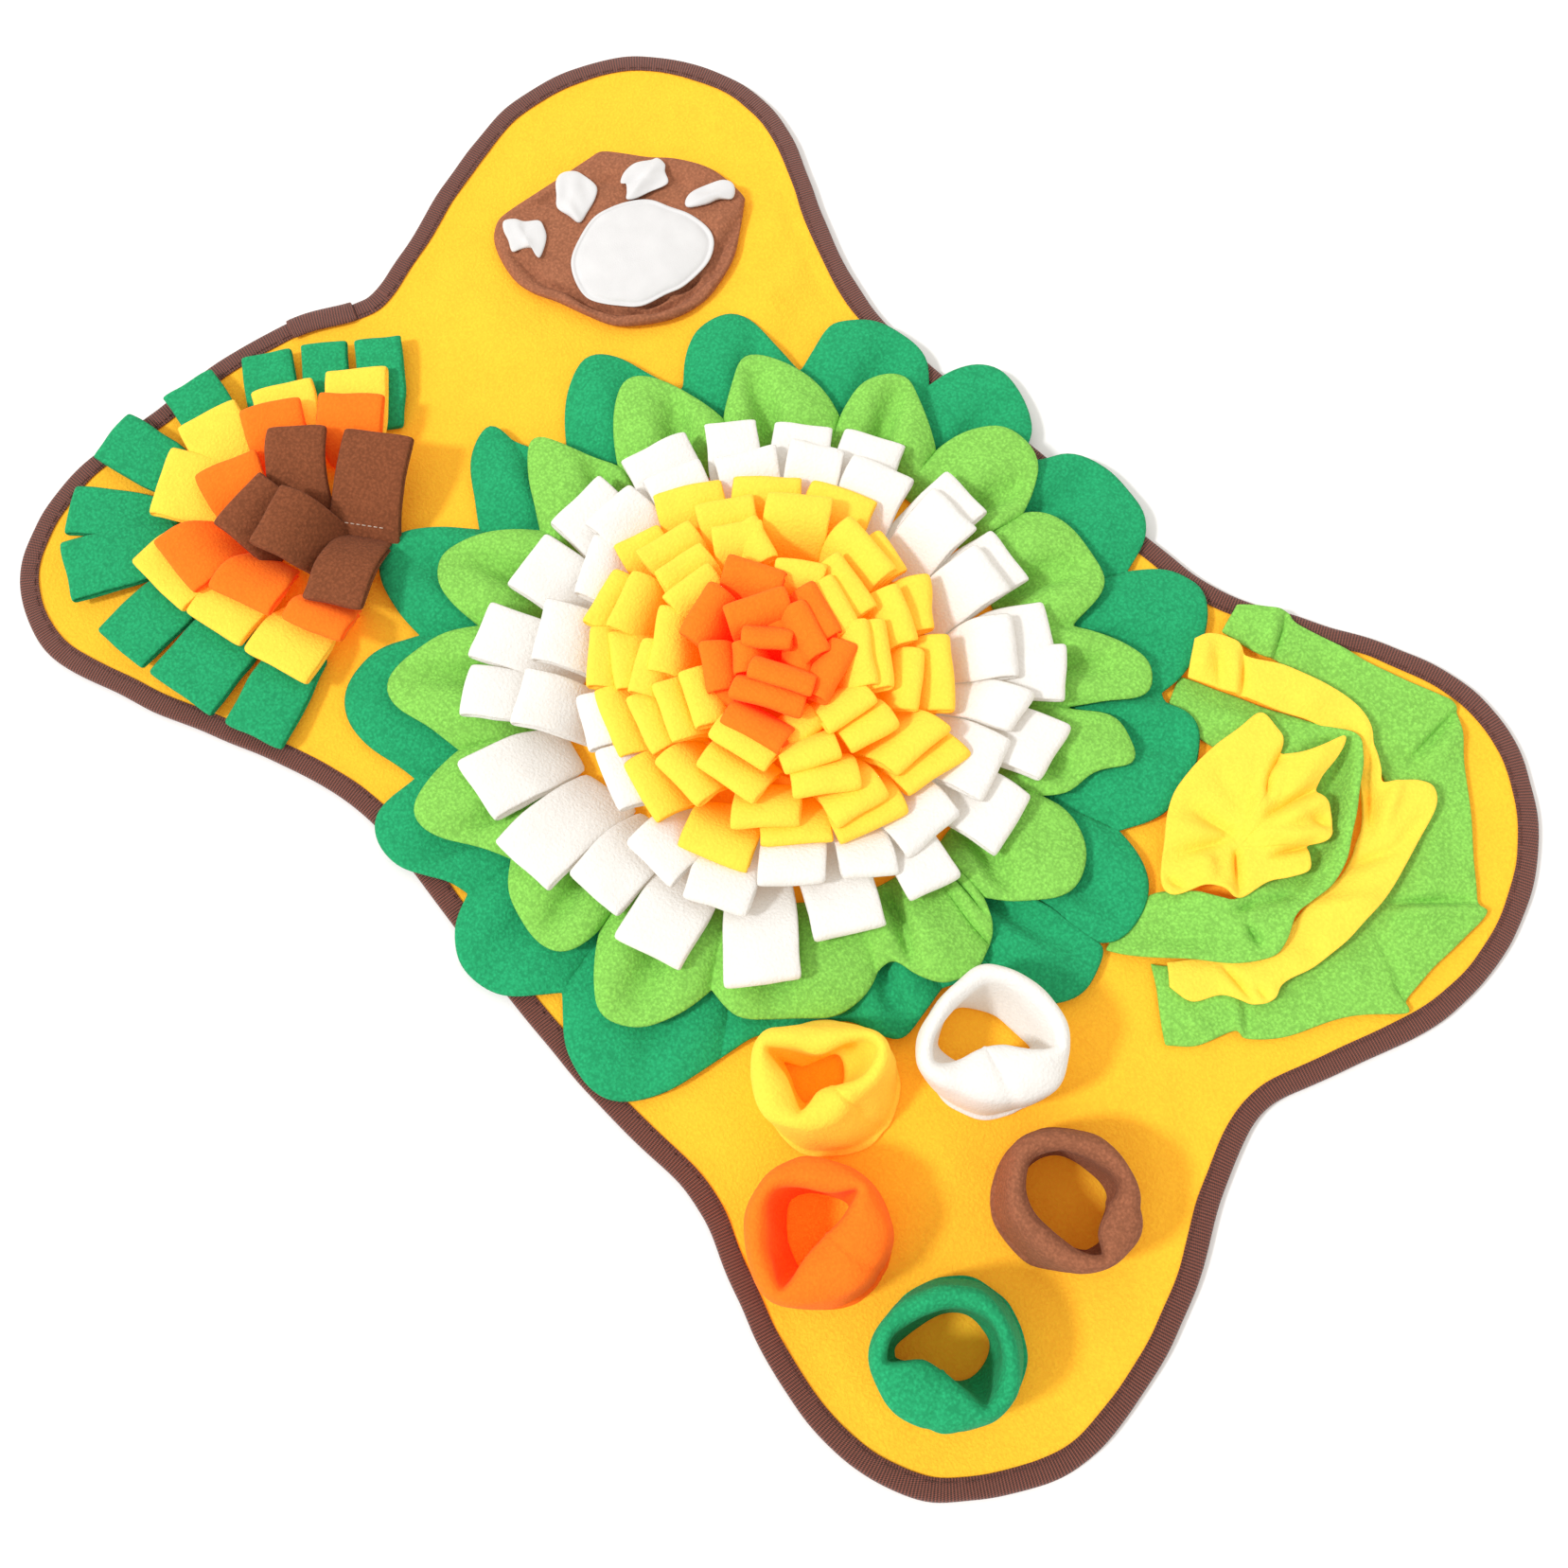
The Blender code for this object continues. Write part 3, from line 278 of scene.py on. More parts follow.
# The cabbage: each pleated band has a row for every fold along it, with the x, y and height
# of its outer and then its inner end, and then its sharp creases.
BAND_STEPS, BAND_ROWS, BAND_BOW, PLEAT_DEPTH = 7, 21, 1.2, 1.5
CABBAGE = [
    Band("cabbage_outer", "fleece_lime", "cabbage_lime_outer", 0.40, 1.0, [
        (167, 223, 10.5, 172, 204, 9.5), (178, 233, 10.5, 186, 206, 9.5),
        (190, 240, 10.5, 200, 209, 9.5), (200, 238, 8.5, 207, 212, 8), (228, 245, 8, 232, 208, 7),
        (255, 251, 8, 258, 208, 6), (285, 261, 8, 284, 202, 5.4), (296, 263, 8.5, 292, 200, 5.4),
        (304, 257, 7.5, 298, 197, 5.2), (330, 230, 7, 312, 188, 5.2), (356, 203, 7, 322, 172, 5.2),
        (377, 180, 7.5, 330, 152, 5.2), (385, 177, 8, 332, 142, 5.2), (383, 142, 7, 331, 132, 5.2),
        (383, 111, 7, 330, 120, 5.2), (388, 104, 7.5, 328, 108, 5.2), (372, 88, 7, 322, 88, 5.2),
        (362, 74, 7, 318, 76, 5.2), (349, 48, 6.5, 306, 62, 5.2), (335, 33, 6.5, 292, 48, 5.2),
        (327, 31, 6.5, 286, 42, 5.2), (318, 11, 6, 276, 32, 5.2), (305, -1, 6, 270, 28, 5.2),
    ], [
        (300, 260, 300, 219, -5, 2.5), (309, 256, 307, 218, 3, 5), (300, 218, 294, 210, -4, 4),
        (379, 175, 345, 139, 4, 3), (374, 179, 345, 147, -3.5, 3), (345, 130, 368, 118, -3.5, 2.5),
        (368, 118, 383, 108, -3, 2.5), (345, 139, 337, 123, -3, 3), (319, 48, 333, 35, -3, 2.5),
        (316, 47, 330, 33, 2.5, 4), (190, 238, 204, 212, -3.4, 2.5), (187, 236, 202, 210, 2.5, 5),
        (223, 238, 232, 219, -1.6, 8), (336, 192, 356, 158, 1.8, 9), (372, 150, 345, 150, 1.4, 8),
        (360, 95, 340, 108, 1.6, 8), (301, 19, 320, 21, 1.8, 5), (262, 235, 268, 212, 1.4, 9),
    ]),
    Band("cabbage_middle", "fleece_yellow", "cabbage_yellow_band", 0.33, 1.0, [
        (163, 190, 16, 176, 169, 14.5), (168, 199, 17, 186, 173, 15), (182, 206, 17, 200, 179, 15),
        (192, 203, 15, 206, 182, 14), (210, 213, 15.5, 222, 188, 14), (232, 220, 16, 240, 195, 13),
        (252, 223, 16, 256, 202, 12.5), (266, 221, 17, 264, 208, 13), (279, 213, 18, 273, 203, 13),
        (289, 204, 17, 281, 194, 11), (296, 197, 15, 290, 185, 10), (303, 205, 16, 298, 176, 10),
        (311, 213, 18, 305, 166, 10), (319, 215, 18, 308, 158, 10.5), (327, 205, 17, 311, 150, 11),
        (334, 175, 16, 313, 138, 12), (339, 145, 16, 312, 126, 12), (339, 118, 16, 310, 114, 12),
        (336, 92, 15, 311, 100, 12), (329, 70, 14, 311, 84, 12), (331, 60, 14.5, 303, 72, 11),
        (325, 50, 13.5, 296, 62, 10), (310, 42, 10, 290, 52, 9), (300, 28, 9.5, 282, 42, 8.8),
        (286, 25, 9.5, 276, 34, 8.6),
    ], [
        (190, 200, 206, 181, -3.6, 2.5), (187, 199, 202, 180, 2.5, 4), (274, 215, 290, 194, -3, 3),
        (292, 192, 310, 174, -4.5, 3), (302, 202, 312, 177, 3, 4), (313, 145, 326, 171, -3.4, 4),
        (326, 171, 325, 197, -2.4, 5), (314, 115, 341, 144, 2.4, 5), (301, 56, 323, 52, -3.8, 2.5),
        (319, 59, 329, 58, -2.5, 2.5), (177, 194, 193, 177, -2, 3), (169, 191, 180, 176, 2, 4),
        (232, 210, 240, 197, 1.4, 8), (322, 100, 333, 92, -1.6, 6),
    ]),
    Band("cabbage_inner", "fleece_lime", "cabbage_lime_inner", 0.30, 0.4, [
        (172, 166, 5.4, 182, 140, 5.2), (200, 178, 5.8, 208, 146, 5.4),
        (225, 188, 7.5, 232, 150, 8), (250, 200, 12, 246, 160, 12), (267, 210, 19, 252, 172, 6),
        (277, 203, 21, 258, 168, 5.6), (288, 186, 21.5, 264, 160, 5.6),
        (300, 168, 21.5, 270, 150, 5.6), (309, 150, 21, 274, 138, 6), (313, 132, 20, 276, 124, 7),
        (311, 116, 19, 278, 112, 10), (310, 104, 18, 280, 100, 14), (315, 88, 17, 280, 88, 16),
        (315, 76, 16, 272, 82, 15), (303, 60, 16, 262, 76, 13), (288, 48, 15, 256, 70, 10.5),
        (272, 34, 12, 248, 62, 7), (258, 22, 8, 244, 54, 5.6), (247, 16, 5.6, 240, 46, 5.4),
    ], [
        (284, 80, 290, 94, -3.8, 3), (290, 94, 302, 110, -2.8, 3), (294, 81, 306, 76, -4.5, 3),
        (274, 195, 286, 179, 2.5, 3), (286, 179, 301, 147, 2.5, 3), (301, 147, 304, 115, 2.5, 3),
        (186, 169, 218, 184, -1.8, 6), (250, 59, 279, 83, 1.8, 8), (313, 79, 308, 101, 2, 6),
        (262, 40, 290, 66, -1.4, 7),
    ]),
]
HEART = [
    (220, 183, 14.5), (232, 181, 17), (239, 179, 18.5), (244, 171, 17.5), (252, 179, 20.5),
    (258, 192, 22.5), (263, 205, 24), (267, 196, 23), (268, 178, 21.5), (273, 167, 20.5),
    (283, 166, 22), (292, 158, 23.5), (295, 150, 24), (289, 142, 20), (293, 137, 22),
    (299, 130, 23), (295, 120, 22), (287, 108, 20.5), (281, 90, 19.5), (270, 87, 18.5),
    (261, 80, 17.5), (254, 66, 16), (246, 65, 15), (236, 76, 14.5), (225, 92, 14.4),
    (217, 106, 14.4), (213, 125, 14.4), (214, 148, 14.4), (217, 168, 14.4),
]
HEART_KNOT, HEART_LEVEL = (262, 112, 16), 18.0
HEART_STEPS, HEART_ROWS, HEART_BOW, HEART_DEPTH = 4, 26, 1.6, 2.1
HEART_CREASES = [
    (254, 144, 247, 157, -4.6, 2.6), (247, 157, 244, 171, -4.2, 2.6),
    (260, 117, 227, 112, -2.8, 4), (261, 113, 279, 91, -4.4, 2.6), (256, 114, 238, 81, -3, 3.5),
    (246, 168, 258, 126, 3.2, 5), (279, 121, 290, 142, -4, 2.6), (280, 169, 266, 130, 3.2, 5),
    (264, 123, 294, 151, 2.6, 4), (244, 72, 256, 74, -2, 2.6), (268, 87, 279, 87, 2, 4),
    (278, 152, 291, 155, -3, 3), (258, 190, 262, 152, 2.6, 7), (236, 170, 240, 130, 1.6, 8),
    (272, 168, 262, 138, -3.4, 3), (226, 96, 246, 106, 1.8, 6), (252, 96, 262, 84, 2.4, 5),
    (222, 140, 246, 134, -1.4, 7),
]

# The paw, as its pieces' outlines, their creases and the levels that they are drawn in by:
# the share of the outline, and its height.
PAW_POUCH = [
    (-341, 108), (-338, 130), (-335, 150), (-332, 172), (-330, 181), (-320, 189), (-305, 199),
    (-292, 210), (-275, 219), (-260, 222), (-240, 221), (-234, 216), (-222, 200), (-212, 185),
    (-206, 168), (-203, 150), (-207, 130), (-218, 112), (-232, 98), (-250, 91), (-270, 85),
    (-285, 79), (-300, 77), (-318, 81), (-332, 88), (-340, 98),
]
PAW_PAD = [
    (-298, 142), (-296, 155), (-290, 168), (-281, 178), (-268, 183), (-255, 188), (-240, 189),
    (-230, 185), (-223, 176), (-220, 165), (-220, 148), (-224, 136), (-229, 120), (-240, 110),
    (-252, 102), (-262, 100), (-275, 104), (-286, 112), (-293, 125),
]
PAW_TOES = [
    [(-266, 200), (-262, 212), (-258, 220), (-252, 223), (-246, 220), (-243, 214), (-249, 208),
     (-252, 200), (-259, 190), (-264, 192)],
    [(-302, 199), (-300, 203), (-293, 203), (-289, 199), (-281, 194), (-285, 182), (-288, 172),
     (-292, 167), (-296, 171), (-301, 175), (-304, 173), (-308, 180), (-308, 190)],
    [(-337, 152), (-332, 159), (-325, 161), (-313, 161), (-307, 154), (-303, 143), (-301, 134),
     (-310, 133), (-320, 132), (-327, 138), (-335, 145)],
    [(-338, 102), (-334, 108), (-328, 111), (-322, 118), (-316, 117), (-308, 112), (-301, 100),
     (-305, 99), (-309, 101), (-314, 96), (-317, 90), (-325, 94), (-333, 97)],
]
POUCH_CREASES = [
    (-286, 90, -271, 96, -5, 2.2), (-271, 96, -252, 100, -6.5, 2.2),
    (-252, 100, -237, 107, -7, 2.2), (-237, 107, -223, 121, -7, 2.2),
    (-223, 121, -215, 138, -6, 2.2), (-215, 138, -214, 161, -4.4, 2.4),
    (-214, 161, -217, 180, -3, 3), (-268, 90, -246, 96, 2.8, 3.2), (-246, 96, -216, 120, 2.8, 3.2),
    (-216, 120, -208, 144, 2.4, 3.2), (-262, 93, -244, 98, -2.6, 1.8),
    (-244, 98, -226, 111, -2.2, 1.8), (-316, 90, -283, 89, -4, 3), (-228, 206, -221, 174, -4, 3.5),
    (-229, 120, -223, 137, -8, 2.2), (-221, 143, -219, 159, -8, 2.2),
    (-316, 164, -305, 174, -3.4, 3.5), (-288, 200, -271, 200, -3.2, 3.5),
    (-326, 110, -306, 92, 2.6, 7), (-240, 205, -232, 192, 2.6, 6), (-322, 176, -300, 188, 2.6, 6),
    (-334, 120, -326, 140, -2.6, 4),
]
PAD_CREASES = [
    (-269, 101, -253, 103, -1.2, 2.5), (-253, 103, -231, 120, -1.2, 2.5),
    (-249, 190, -231, 185, -1, 2.5),
]
TOE_CREASES = [
    [(-261, 192, -248, 218, 1.8, 3), (-265, 201, -259, 212, -1.4, 2.5)],
    [(-292, 169, -297, 200, 2.4, 3), (-303, 176, -295, 189, -1.8, 2.5),
     (-287, 184, -287, 197, -1.4, 2.5)],
    [(-321, 139, -303, 135, 2.2, 3), (-332, 152, -320, 139, -1.4, 3),
     (-324, 159, -309, 150, -1.2, 3)],
    [(-330, 98, -319, 118, -2, 2.5), (-320, 103, -310, 100, 2, 3),
     (-333, 108, -322, 102, 1.4, 3)],
]
POUCH_TOP = 12.0
POUCH_LEVELS = [
    (0.0, BASE_TOP), (0.6, BASE_TOP), (0.93, BASE_TOP), (0.985, 4.2), (1.0, 6.6), (0.995, 8.8),
    (0.982, 10.4), (0.967, 11.3), (0.952, 11.8), (0.937, POUCH_TOP),
    *((share, POUCH_TOP) for share in np.linspace(0.922, 0.77, 12)),
    *((share, POUCH_TOP) for share in (0.75, 0.72, 0.68, 0.64, 0.57, 0.5, 0.4, 0.3, 0.15, 0.0)),
]
PAD_LEVELS = [
    (0.0, 12.3), (0.6, 12.3), (0.97, 12.4), (1.0, 13.6), (0.985, 14.7), (0.955, 15.1),
    (0.935, 14.3), (0.91, 14.5), (0.88, 15.5), (0.75, 16.4), (0.5, 17.2), (0.25, 17.6),
    (0.0, 17.7),
]
TOE_LEVELS = [
    (0.0, 12.3), (0.9, 12.3), (1.0, 13.4), (0.98, 14.6), (0.9, 15.2), (0.75, 15.6), (0.55, 15.9),
    (0.35, 16.1), (0.15, 16.2), (0.0, 16.2),
]

# The cups: each one's middle, foot and seam's bearing in degrees, then where the eye sees
# its outer wall, its soft lip and its bottom hole.
CUPS = [
    Cup("cup_white", "fleece_white", (228, -68), (238, -67), -20,
        [(200, -62), (203, -40), (215, -29), (238, -24), (262, -30), (274, -44), (279, -60),
         (268, -82), (248, -98), (224, -105), (206, -92)],
        [(209, -62), (213, -45), (226, -36), (246, -34), (262, -41), (264, -50), (248, -58),
         (238, -68), (231, -84), (222, -95), (212, -86)],
        [(211, -68), (218, -60), (232, -55), (254, -53), (240, -64), (234, -76), (230, -85),
         (215, -86)]),
    Cup("cup_yellow", "fleece_yellow", (182, -144), (190, -143), 3,
        [(143, -150), (150, -138), (166, -121), (182, -107), (196, -104), (207, -114),
         (209, -135), (206, -156), (196, -172), (176, -180), (154, -170)],
        [(151, -153), (161, -143), (173, -136), (180, -120), (188, -110), (197, -113),
         (200, -126), (194, -140), (188, -150), (188, -166), (168, -158)],
        [(162, -151), (174, -145), (180, -132), (189, -138), (192, -143), (187, -150),
         (186, -158), (174, -154)]),
    Cup("cup_orange", "fleece_orange", (233, -203), (242, -203), 11,
        [(197, -202), (204, -181), (222, -169), (240, -166), (261, -172), (273, -190),
         (273, -214), (258, -238), (240, -246), (219, -238), (203, -222)],
        [(206, -205), (216, -192), (230, -182), (239, -172), (243, -185), (243, -208),
         (246, -236), (232, -233), (214, -219)],
        [(218, -201), (227, -189), (240, -184), (243, -204), (243, -222), (228, -214)]),
    Cup("cup_brown", "fleece_brown", (320, -98), (320, -99), 36,
        [(283, -100), (288, -82), (305, -66), (326, -61), (348, -69), (361, -86), (362, -106),
         (350, -122), (325, -130), (300, -124)],
        [(294, -99), (300, -83), (308, -77), (322, -71), (337, -72), (341, -90), (347, -100),
         (354, -106), (345, -114), (325, -117), (304, -112)],
        [(296, -100), (302, -86), (320, -82), (336, -84), (342, -96), (350, -106), (335, -114),
         (312, -114), (299, -107)]),
    Cup("cup_green", "fleece_dark_green", (328, -198), (332, -196), -62,
        [(293, -206), (298, -185), (311, -169), (328, -163), (350, -170), (366, -186),
         (368, -206), (357, -226), (336, -238), (315, -238), (299, -228)],
        [(302, -213), (306, -194), (317, -178), (334, -172), (350, -180), (360, -203),
         (346, -207), (332, -207), (320, -213), (311, -226)],
        [(307, -214), (313, -192), (322, -181), (339, -181), (344, -194), (338, -207),
         (322, -212), (311, -222)]),
]

# A cup's form: its size, its foot, the limits and shift of its rim and hole, its outer wall,
# its lining, its soft rim and its seam.
CUP_SIDES, CUP_HEIGHT, SHOULDER_DROP, ROLL_DROP = 80, 48.0, 8.0, 1.0
CUP_FOOT, FOOT_FLARE, FOOT_HEIGHT = 35.5, (2.6, 1.2), 1.5
LEAST_RIM, MOST_HOLE, HOLE_SHIFT = 7.0, 29.0, 0.12
WALL_LEVELS, WALL_BOW, WALL_TUCK = (0.05, 0.2, 0.4, 0.6, 0.8), 0.9, 1.4
LINING_LEVELS, LINING_BOW = (0.15, 0.35, 0.6, 0.85, 1.0), 2.0
RIM_ROWS, RIM_RISE, RIM_SPREAD = 9, 7.2, 0.05
SEAM_WIDTH, SEAM_DEPTH, SEAM_DIP = 0.07, 0.9, 1.5

# Stitches and knits, in metres.
STITCH_LENGTH, FINE_THREAD, PALE_THREAD = 0.0024, 0.0006, 0.0007
THREAD_PITCH, PAD_PITCH = 0.0006, 0.0008

# The floor, the lights and the camera, in metres.
FLOOR_SIZE, FLOOR_LEVEL = 12.0, -0.0006
FLOOR_TONES = (0.9, 0.9, 0.9, 1.0), (0.93, 0.93, 0.93, 1.0)
SKY_COLOUR, SKY_STRENGTH = (1.0, 0.96, 0.91, 1.0), 0.95
KEY_ENERGY, KEY_ANGLE, KEY_COLOUR = 1.85, radians(9), (0.98, 0.99, 1.0)
FILL_ENERGY, FILL_SIZE = 4.0, 2.0
KEY_PLACE = (-0.75, -1.35, 1.65)
FILL_PLACE = (-1.4, 1.3, 1.6)
LENS = 36.0
CAMERA_PLACE = (0.2323, -0.1984, 0.8845)
CAMERA_RIGHT = (0.71318, 0.70059, -0.02347)
CAMERA_UP = (-0.67060, 0.69163, 0.26821)
CAMERA_BACK = (0.20414, -0.17555, 0.96307)


def linear(*shades):
    """A colour given as 0 to 255 on a screen, as Blender's linear values."""
    return tuple((shade / 255) ** 2.2 for shade in shades)


COLOURS = {
    "fleece_amber": linear(255, 195, 56),
    "webbing_brown": linear(104, 58, 47),
    "fleece_dark_green": linear(44, 161, 106),
    "fleece_lime": linear(136, 204, 89),
    "fleece_white": linear(220, 220, 218),
    "fleece_yellow": linear(255, 211, 76),
    "fleece_orange": linear(255, 123, 38),
    "fleece_brown": linear(159, 103, 77),
    "tab_brown": linear(132, 78, 53),
    "cup_brown": linear(152, 97, 72),
    "pad_white": linear(214, 214, 215),
    "thread": linear(226, 206, 190),
}
# How strongly the nap's tone, with its painted highlight and shade, differs. It differs less on bright
# cloth.
FULL_TONE_AND_SHADE = 1.3
NAP_TONE_AND_SHADE = {
    "fleece_white": 0.2, "fleece_yellow": 0.35, "fleece_orange": 0.5, "fleece_amber": 0.45,
}
# A faint warm glow painted into bright cloth as emission. It lifts the shade in the cloth's folds, though
# the cloth is no lamp.
PAINTED_GLOW = {
    "fleece_amber": (0.15, 0.006, 0.0), "fleece_yellow": (0.18, 0.045, 0.0),
    "fleece_orange": (0.2, 0.003, 0.001), "fleece_white": (0.12, 0.095, 0.07),
}


# Sizes and colours that a user would change.

def metres(label, what, value):
    """A length that the user can change."""
    return FloatProperty(name=label, description=what, default=value, unit="LENGTH")


def cloth_colour(label, where, cloth):
    """A colour that the user can change, at first this cloth's own."""
    return FloatVectorProperty(
        name=label, description=f"Colour of {where}", subtype="COLOR", default=COLOURS[cloth])


class MatSizes(bpy.types.PropertyGroup):
    fleece: metres("Fleece", "Thickness of one layer of fleece", 0.0024)
    pebble: metres("Pebble", "Size of the fleece's pebbled nap", 0.0015)
    tape_width: metres("Tape", "How far the binding tape reaches in from the edge", 0.0125)
    rib: metres("Rib", "Pitch of the binding tape's crosswise ribs", 0.0017)
    stitch: metres("Stitch", "Pitch of the sewn stitches", 0.0036)


class MatColours(bpy.types.PropertyGroup):
    fleece_amber: cloth_colour("Base", "the base's fleece", "fleece_amber")
    webbing_brown: cloth_colour("Binding", "the edge tape", "webbing_brown")
    fleece_dark_green: cloth_colour("Dark green", "the lower petals", "fleece_dark_green")
    fleece_lime: cloth_colour("Lime", "the upper petals", "fleece_lime")
    fleece_white: cloth_colour("White", "the white loops", "fleece_white")
    fleece_yellow: cloth_colour("Yellow", "the yellow loops", "fleece_yellow")
    fleece_orange: cloth_colour("Orange", "the orange loops", "fleece_orange")
    fleece_brown: cloth_colour("Brown", "the paw", "fleece_brown")
    tab_brown: cloth_colour("Dark brown", "the fan's brown tabs", "tab_brown")
    cup_brown: cloth_colour("Ginger", "the brown cup", "cup_brown")


# Places and curves, in the tables' millimetres.

def seen(x, y, z):
    """A point read at the reading level, moved along its sight line to its own height."""
    read = np.array([x, y, READ_LEVEL])
    return EYE + (read - EYE) * (EYE[2] - z) / (EYE[2] - READ_LEVEL)


def unit(vectors):
    length = np.linalg.norm(vectors, axis=-1, keepdims=True)
    return vectors / np.maximum(length, 1e-9)


def smooth_curve(points, steps, closed=False):
    """A Catmull-Rom curve through the points, with this many steps to each."""
    points = np.asarray(points, float)
    if closed:
        before, start = np.roll(points, 1, axis=0), points
        end, after = np.roll(points, -1, axis=0), np.roll(points, -2, axis=0)
    else:
        first, last = 2 * points[0] - points[1], 2 * points[-1] - points[-2]
        padded = np.vstack([first, points, last])
        before, start, end, after = padded[:-3], padded[1:-2], padded[2:-1], padded[3:]
    t = (np.arange(steps) / steps)[None, :, None]
    before, start, end, after = (p[:, None, :] for p in (before, start, end, after))
    curve = 0.5 * (
        2 * start + (end - before) * t + (2 * before - 5 * start + 4 * end - after) * t ** 2
        + (3 * start - before - 3 * end + after) * t ** 3
    )
    curve = curve.reshape(-1, points.shape[1])
    return curve if closed else np.vstack([curve, points[-1]])


def flat_curve(outline, steps):
    """The smooth closed curve of an outline on the floor."""
    return smooth_curve([(x, y, 0.0) for x, y in outline], steps, closed=True)


def inset_loop(points, distance):
    """The same closed clockwise loop, moved inward by the distance."""
    along = unit(np.roll(points, -1, axis=0) - np.roll(points, 1, axis=0))
    return points + distance * np.stack([along[:, 1], -along[:, 0], 0 * along[:, 0]], axis=1)


def on_circle(middle, radius, point):
    bearing = atan2(point[1] - middle[1], point[0] - middle[0])
    return middle + radius * np.array([cos(bearing), sin(bearing), 0.0])


def ease(low, high, value):
    """0 below low, 1 above high and a smooth step between."""
    share = np.clip((value - low) / (high - low), 0, 1)
    return share * share * (3 - 2 * share)


def wobble(points, size, amount, seed):
    """Moves each point a little, smoothly, so that no cut edge or fold is quite straight."""
    noise.seed_set(NOISE_SEED)
    flat = points.reshape(-1, 3)
    shift = Vector((seed, seed * 1.7, -seed))
    moves = [noise.noise_vector(Vector(p) / size + shift) for p in flat]
    return (flat + np.array(moves) * amount).reshape(points.shape)


def crease_height(points, creases, level):
    """How far soft creases lift or sink the cloth at each point of a grid."""
    flat = points.reshape(-1, 3)
    lift = np.zeros(len(flat))
    for start_x, start_y, end_x, end_y, height, width in creases:
        start = seen(start_x, start_y, level)[:2]
        run = seen(end_x, end_y, level)[:2] - start
        share = np.clip((flat[:, :2] - start) @ run / (run @ run), 0, 1)
        away = np.linalg.norm(flat[:, :2] - start - share[:, None] * run, axis=1)
        fade = 0.35 + 0.65 * np.sin(pi * share)
        lift += height * fade * np.exp(-(away / width) ** 2)
    return lift.reshape(points.shape[:-1])


# Making objects.

def select_only(*objects):
    bpy.ops.object.select_all(action="DESELECT")
    for obj in objects:
        obj.select_set(True)
    bpy.context.view_layer.objects.active = objects[0]


def add_object(name, data):
    obj = bpy.data.objects.new(name, data)
    bpy.context.scene.collection.objects.link(obj)
    return obj


def add_grids(name, grids, around=False):
    """One mesh object from grids of points, with a UV map in metres along each grid."""
    points, faces, corners = [], [], []
    first = 0
    for grid in grids:
        rows, columns = grid.shape[:2]
        closed = np.concatenate([grid, grid[:, :1]], axis=1) if around else grid
        across = np.linalg.norm(np.diff(closed, axis=1), axis=2).mean(axis=0).cumsum() * MM
        along = np.linalg.norm(np.diff(grid, axis=0), axis=2).mean(axis=1).cumsum() * MM
        across, along = np.append(0.0, across), np.append(0.0, along)
        points.append(grid.reshape(-1, 3))
        for r in range(rows - 1):
            for c in range(columns if around else columns - 1):
                right = (c + 1) % columns
                low, high = first + r * columns, first + (r + 1) * columns
                faces.append((low + c, low + right, high + right, high + c))
                corners += [
                    (across[c], along[r]), (across[c + 1], along[r]),
                    (across[c + 1], along[r + 1]), (across[c], along[r + 1]),
                ]
        first += rows * columns
    mesh = bpy.data.meshes.new(name)
    mesh.from_pydata(((np.vstack(points) - BOX_MIDDLE) * MM).tolist(), [], faces)
    mesh.uv_layers.new(name="Cloth").data.foreach_set("uv", np.array(corners).ravel())
    return add_object(name, mesh)


def apply_modifier(obj, kind, **settings):
    select_only(obj)
    modifier = obj.modifiers.new(kind.title(), kind)
    for key, value in settings.items():
        setattr(modifier, key, value)
    bpy.ops.object.modifier_apply(modifier=modifier.name)


def face_outward(obj, join=False):
    """Turns the faces outward, and can first join points that a grid brings to one place."""
    select_only(obj)
    bpy.ops.object.mode_set(mode="EDIT")
    bpy.ops.mesh.select_all(action="SELECT")
    if join:
        bpy.ops.mesh.remove_doubles(threshold=0.00001)
    bpy.ops.mesh.normals_make_consistent(inside=False)
    bpy.ops.object.mode_set(mode="OBJECT")


def dress(obj, slot, material, *nodes):
    """Gives the piece its finish, and puts it in the place of its solids."""
    if not obj.data.polygons:
        raise RuntimeError(f"{obj.name} has no faces")
    obj.data.materials.clear()
    obj.data.materials.append(material)
    obj.data.shade_smooth()
    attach(obj, BODY)
    if nodes:
        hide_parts(*nodes)
    return obj


def sew_cloth(name, grids, thickness, levels=1, around=False, filled=False):
    """A sheet of cloth through the grids' points, with soft cut edges."""
    obj = add_grids(name, grids, around)
    if filled:
        face_outward(obj, join=True)
    apply_modifier(obj, "SOLIDIFY", thickness=thickness, offset=0.0)
    if levels:
        apply_modifier(obj, "SUBSURF", levels=levels, render_levels=levels)
    face_outward(obj)
    return obj


def sew_fleece(context, name, grids, slot, solid, cloth=None, **sewing):
    """A sheet of fleece in its solid's place, in the slot's own cloth or in another one."""
    obj = sew_cloth(name, grids, context.scene.mat_sizes.fleece, **sewing)
    return dress(obj, slot, fleece(context, cloth or slot), solid)


# Finishes.

